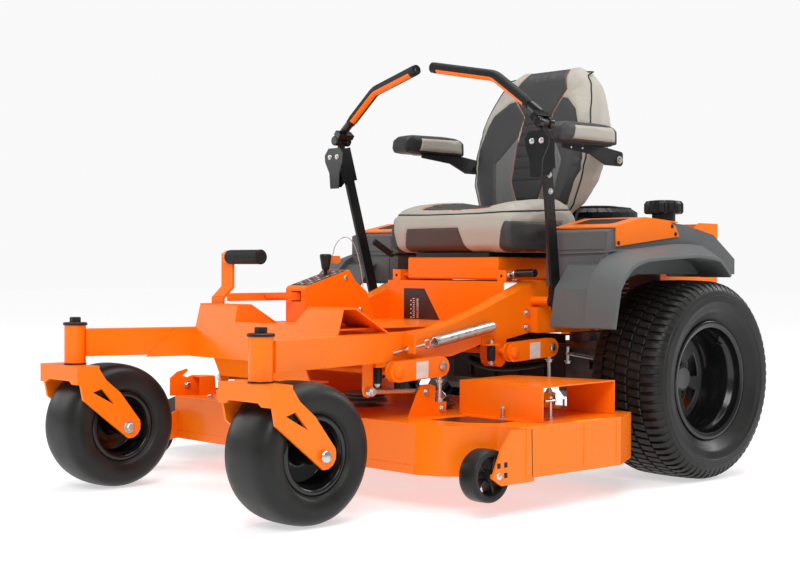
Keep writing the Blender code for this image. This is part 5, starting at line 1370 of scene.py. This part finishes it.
def drive_details():
    """Guard, hoses, pump fans and control rods between the drives."""
    dark = [box((-0.228, 0.228), (-0.158, -0.154), (0.25, 0.398)),
        box((-0.228, 0.228), (-0.158, -0.132), (0.394, 0.398)), rod((-0.232, -0.215, 0.372),
        (0.232, -0.215, 0.372), 0.011, 24)]
    for x in (-0.15, -0.05, 0.05, 0.15):
        dark.append(box((x - 0.004, x + 0.004), (-0.164, -0.157), (0.256, 0.392)))
    piece("drive_guard", joined(*dark), "frame", SATIN_BLACK, bevel=0.001)
    hoses = []
    for hand, level in ((1, 0.3), (-1, 0.33)):
        hoses.append(tube(smooth_path([(hand * 0.19, -0.092, 0.345), (hand * 0.185, -0.125, level + 0.02),
            (hand * 0.12, -0.185, level), (0.0, -0.2, level - 0.012), (-hand * 0.12, -0.185, level),
            (-hand * 0.185, -0.125, level + 0.02), (-hand * 0.19, -0.092, 0.345)], 8), 0.0085, 14))
    piece("drive_hoses", joined(*hoses), "frame", SOFT_BLACK, 1, 60)
    for label, side in SIDES:
        fan = [lathe((0.2, -0.02, 0), UP, [(0, 0.4015), (0.016, 0.4015), (0.016, 0.409), (0, 0.409)], 24)]
        for index in range(9):
            blade = box((0.013, 0.056), (-0.01, 0.01), (-0.001, 0.001))
            tilt = Matrix.Translation((0.2, -0.02, 0.4058)) @ Matrix.Rotation(2 * math.pi * index / 9, 4,
                "Z") @ Matrix.Rotation(0.3, 4, "X")
            fan.append(moved(blade, tilt))
        piece("pump_fan_" + label, joined(*fan), "frame", ENGINE, side)
        front, back = Vector((0.35, -0.285, 0.352)), Vector((0.35, -0.15, 0.33))
        link = [rod(front, back, 0.0042, 14), bolt(front, front - back, 0.0068, 0.008, False),
            bolt(back, back - front, 0.0068, 0.008, False)]
        link.append(rod(front + Vector((0, -0.004, -0.022)), front + Vector((0, -0.004, 0.02)), 0.0048,
            16))
        link.append(bolt(front + Vector((0, -0.004, -0.02)), DOWN, 0.0078, 0.006))
        piece("control_link_" + label, joined(*link), "frame", ZINC, side, 35)
        arm = joined(box((0.318, 0.356), (-0.158, -0.142), (0.322, 0.327)),
            box((0.318, 0.323), (-0.158, -0.085), (0.3, 0.327)),
            box((0.309, 0.356), (-0.297, -0.281), (0.3745, 0.3785)))
        piece("control_arm_" + label, arm, "frame", SATIN_BLACK, side, bevel=0.001)


def seat_details():
    """Rubber sleeve on the seat's handle."""
    sleeve = sweep(smooth_path([(-0.262, -0.3905, 0.6325), (-0.268, -0.395, 0.633),
        (-0.276, -0.418, 0.649), (-0.286, -0.447, 0.6695)], 6), circle(0.0098, 20))
    piece("seat_handle_sleeve", sleeve, "seat_lever", SOFT_BLACK, 1, 40)


def scalp_wheels():
    """Smooth anti-scalp rollers with spoked hubs."""
    for label, hand, x_low, x_high, y, body in (("left", 1, 0.607, 0.661, -0.925, "scalp_l"),
            ("right", -1, 0.579, 0.633, -1.032, "scalp_r")):
        middle = (x_low + x_high) / 2
        half = [(0.047, 0.0235), (0.056, 0.0262), (0.06, 0.0255), (0.0625, 0.0215), (0.0634, 0.014),
            (0.0635, 0.004)]
        ring = half + [(radius, -reach) for radius, reach in reversed(half)]
        ring += [(0.045, -0.019), (0.045, 0.019)]
        piece("scalp_roller_" + label, lathe((middle, y, 0.1015), OUT, ring, 64), body, SIDEWALL, hand,
            40, replaces=["scalp_wheel_" + label])
        spokes = [lathe((middle, y, 0.1015), OUT, [(0.0066, -0.0235), (0.015, -0.0235), (0.016, -0.02),
            (0.016, 0.02), (0.015, 0.0235), (0.0066, 0.0235)], 32)]
        for index in range(5):
            blade_box = box((-0.016, 0.016), (0.015, 0.0462), (-0.0022, 0.0022))
            spokes.append(moved(blade_box, Matrix.Translation((middle, y,
                0.1015)) @ Matrix.Rotation(2 * math.pi * index / 5, 4, "X")))
        piece("scalp_hub_" + label, joined(*spokes), body, ENGINE, hand, 35)


# CAD nodes that stay --------------------------------------------------------------------
def finish_cad():
    """Gives every piece of the frame its material, and rounds the edges of sheet and plastic."""
    by_slot = {"orange_paint": ORANGE, "black_paint": SATIN_BLACK, "zinc_steel": ZINC,
        "tyre_rubber": SIDEWALL, "grey_plastic": PLASTIC, "seat_vinyl": VINYL, "cast_metal": CASTING}
    special = {"engine_block": ENGINE, "crankshaft": ENGINE, "seat_slide": SATIN_BLACK,
        "fuel_cap": ENGINE}
    for entry in frame["record"]["subparts"]:
        made = frame["nodes"][entry["node"]]
        finish = special.get(entry["node"], by_slot[entry["material_slot"]])
        made.data.materials.clear()
        made.data.materials.append(finish)
        if entry["material_slot"] in ("orange_paint", "grey_plastic"):
            soften(made, 0.0012)


# Floor and lights -----------------------------------------------------------------------
def make_stage():
    """Pale floor that fades into a white background, and four soft lamps."""
    points = [(-30, -30, -0.0006), (30, -30, -0.0006), (30, 30, -0.0006), (-30, 30, -0.0006)]
    mesh = bpy.data.meshes.new("floor")
    mesh.from_pydata(points, [], [(0, 1, 2, 3)])
    floor = bpy.data.objects.new("floor", mesh)
    bpy.context.collection.objects.link(floor)
    pale = look("pale_floor", (0.62, 0.62, 0.625), 0.7, vary=0.01, patch=1.5, rough_vary=0.03, shine=0.2)
    tree = pale.node_tree
    shader = tree.nodes["Principled BSDF"]
    shader.inputs["Emission Color"].default_value = (1.0, 1.0, 1.0, 1.0)
    reach = tree.nodes.new("ShaderNodeVectorMath")
    reach.operation = "LENGTH"
    tree.links.new(tree.nodes["Texture Coordinate"].outputs["Object"], reach.inputs[0])
    glow = wired(tree, "MapRange", From_Min=2.2, From_Max=9.0, To_Min=0.55, To_Max=0.725,
        Value=reach.outputs["Value"])
    tree.links.new(glow.outputs["Result"], shader.inputs["Emission Strength"])
    mesh.materials.append(pale)
    world = bpy.data.worlds.new("studio")
    bpy.context.scene.world = world
    world.use_nodes = True
    tree = world.node_tree
    lit = tree.nodes["Background"]
    lit.inputs["Color"].default_value = (1.0, 1.0, 1.0, 1.0)
    lit.inputs["Strength"].default_value = 0.36
    seen = wired(tree, "Background", Color=(1.0, 1.0, 1.0, 1.0), Strength=0.95)
    rays = tree.nodes.new("ShaderNodeLightPath")
    mixed = wired(tree, "MixShader", Fac=rays.outputs["Is Camera Ray"])
    tree.links.new(lit.outputs["Background"], mixed.inputs[1])
    tree.links.new(seen.outputs["Background"], mixed.inputs[2])
    tree.links.new(mixed.outputs["Shader"], tree.nodes["World Output"].inputs["Surface"])
    lamps = (("key", (3.2, -4.4, 4.6), 230.0, 3.0), ("fill", (-4.6, -3.0, 2.6), 60.0, 3.0),
        ("top", (0.0, 0.4, 5.2), 170.0, 4.0), ("rim", (2.2, 4.4, 3.2), 110.0, 2.0))
    for name, place, power, size in lamps:
        data = bpy.data.lights.new(name, "AREA")
        data.energy = power
        data.size = size
        lamp = bpy.data.objects.new(name, data)
        bpy.context.collection.objects.link(lamp)
        start = Vector(place) + ORIGIN
        aim_at = ORIGIN + Vector((0, -0.5, 0.5))
        lamp.matrix_world = Matrix.Translation(start) @ (start - aim_at).to_track_quat("Z",
            "Y").to_matrix().to_4x4()
    bpy.context.scene.view_settings.view_transform = "Standard"


make_camera()
make_stage()
finish_cad()
for label, side in SIDES:
    rear_wheel(label, side)
    rear_rim(label, side)
    casters(label, side)
    assist_spring(label, side)
    lever(label, side)
    armrest(label, side)
    rail_details(label, side)
    cover_details(label, side)
    flare(label, side)
idler_spring()
deck_details()
tower_details()
console_details()
pedal_details()
fuel_cap()
engine_details()
drive_details()
seat_details()
scalp_wheels()
seat_back()
seat_cushion()
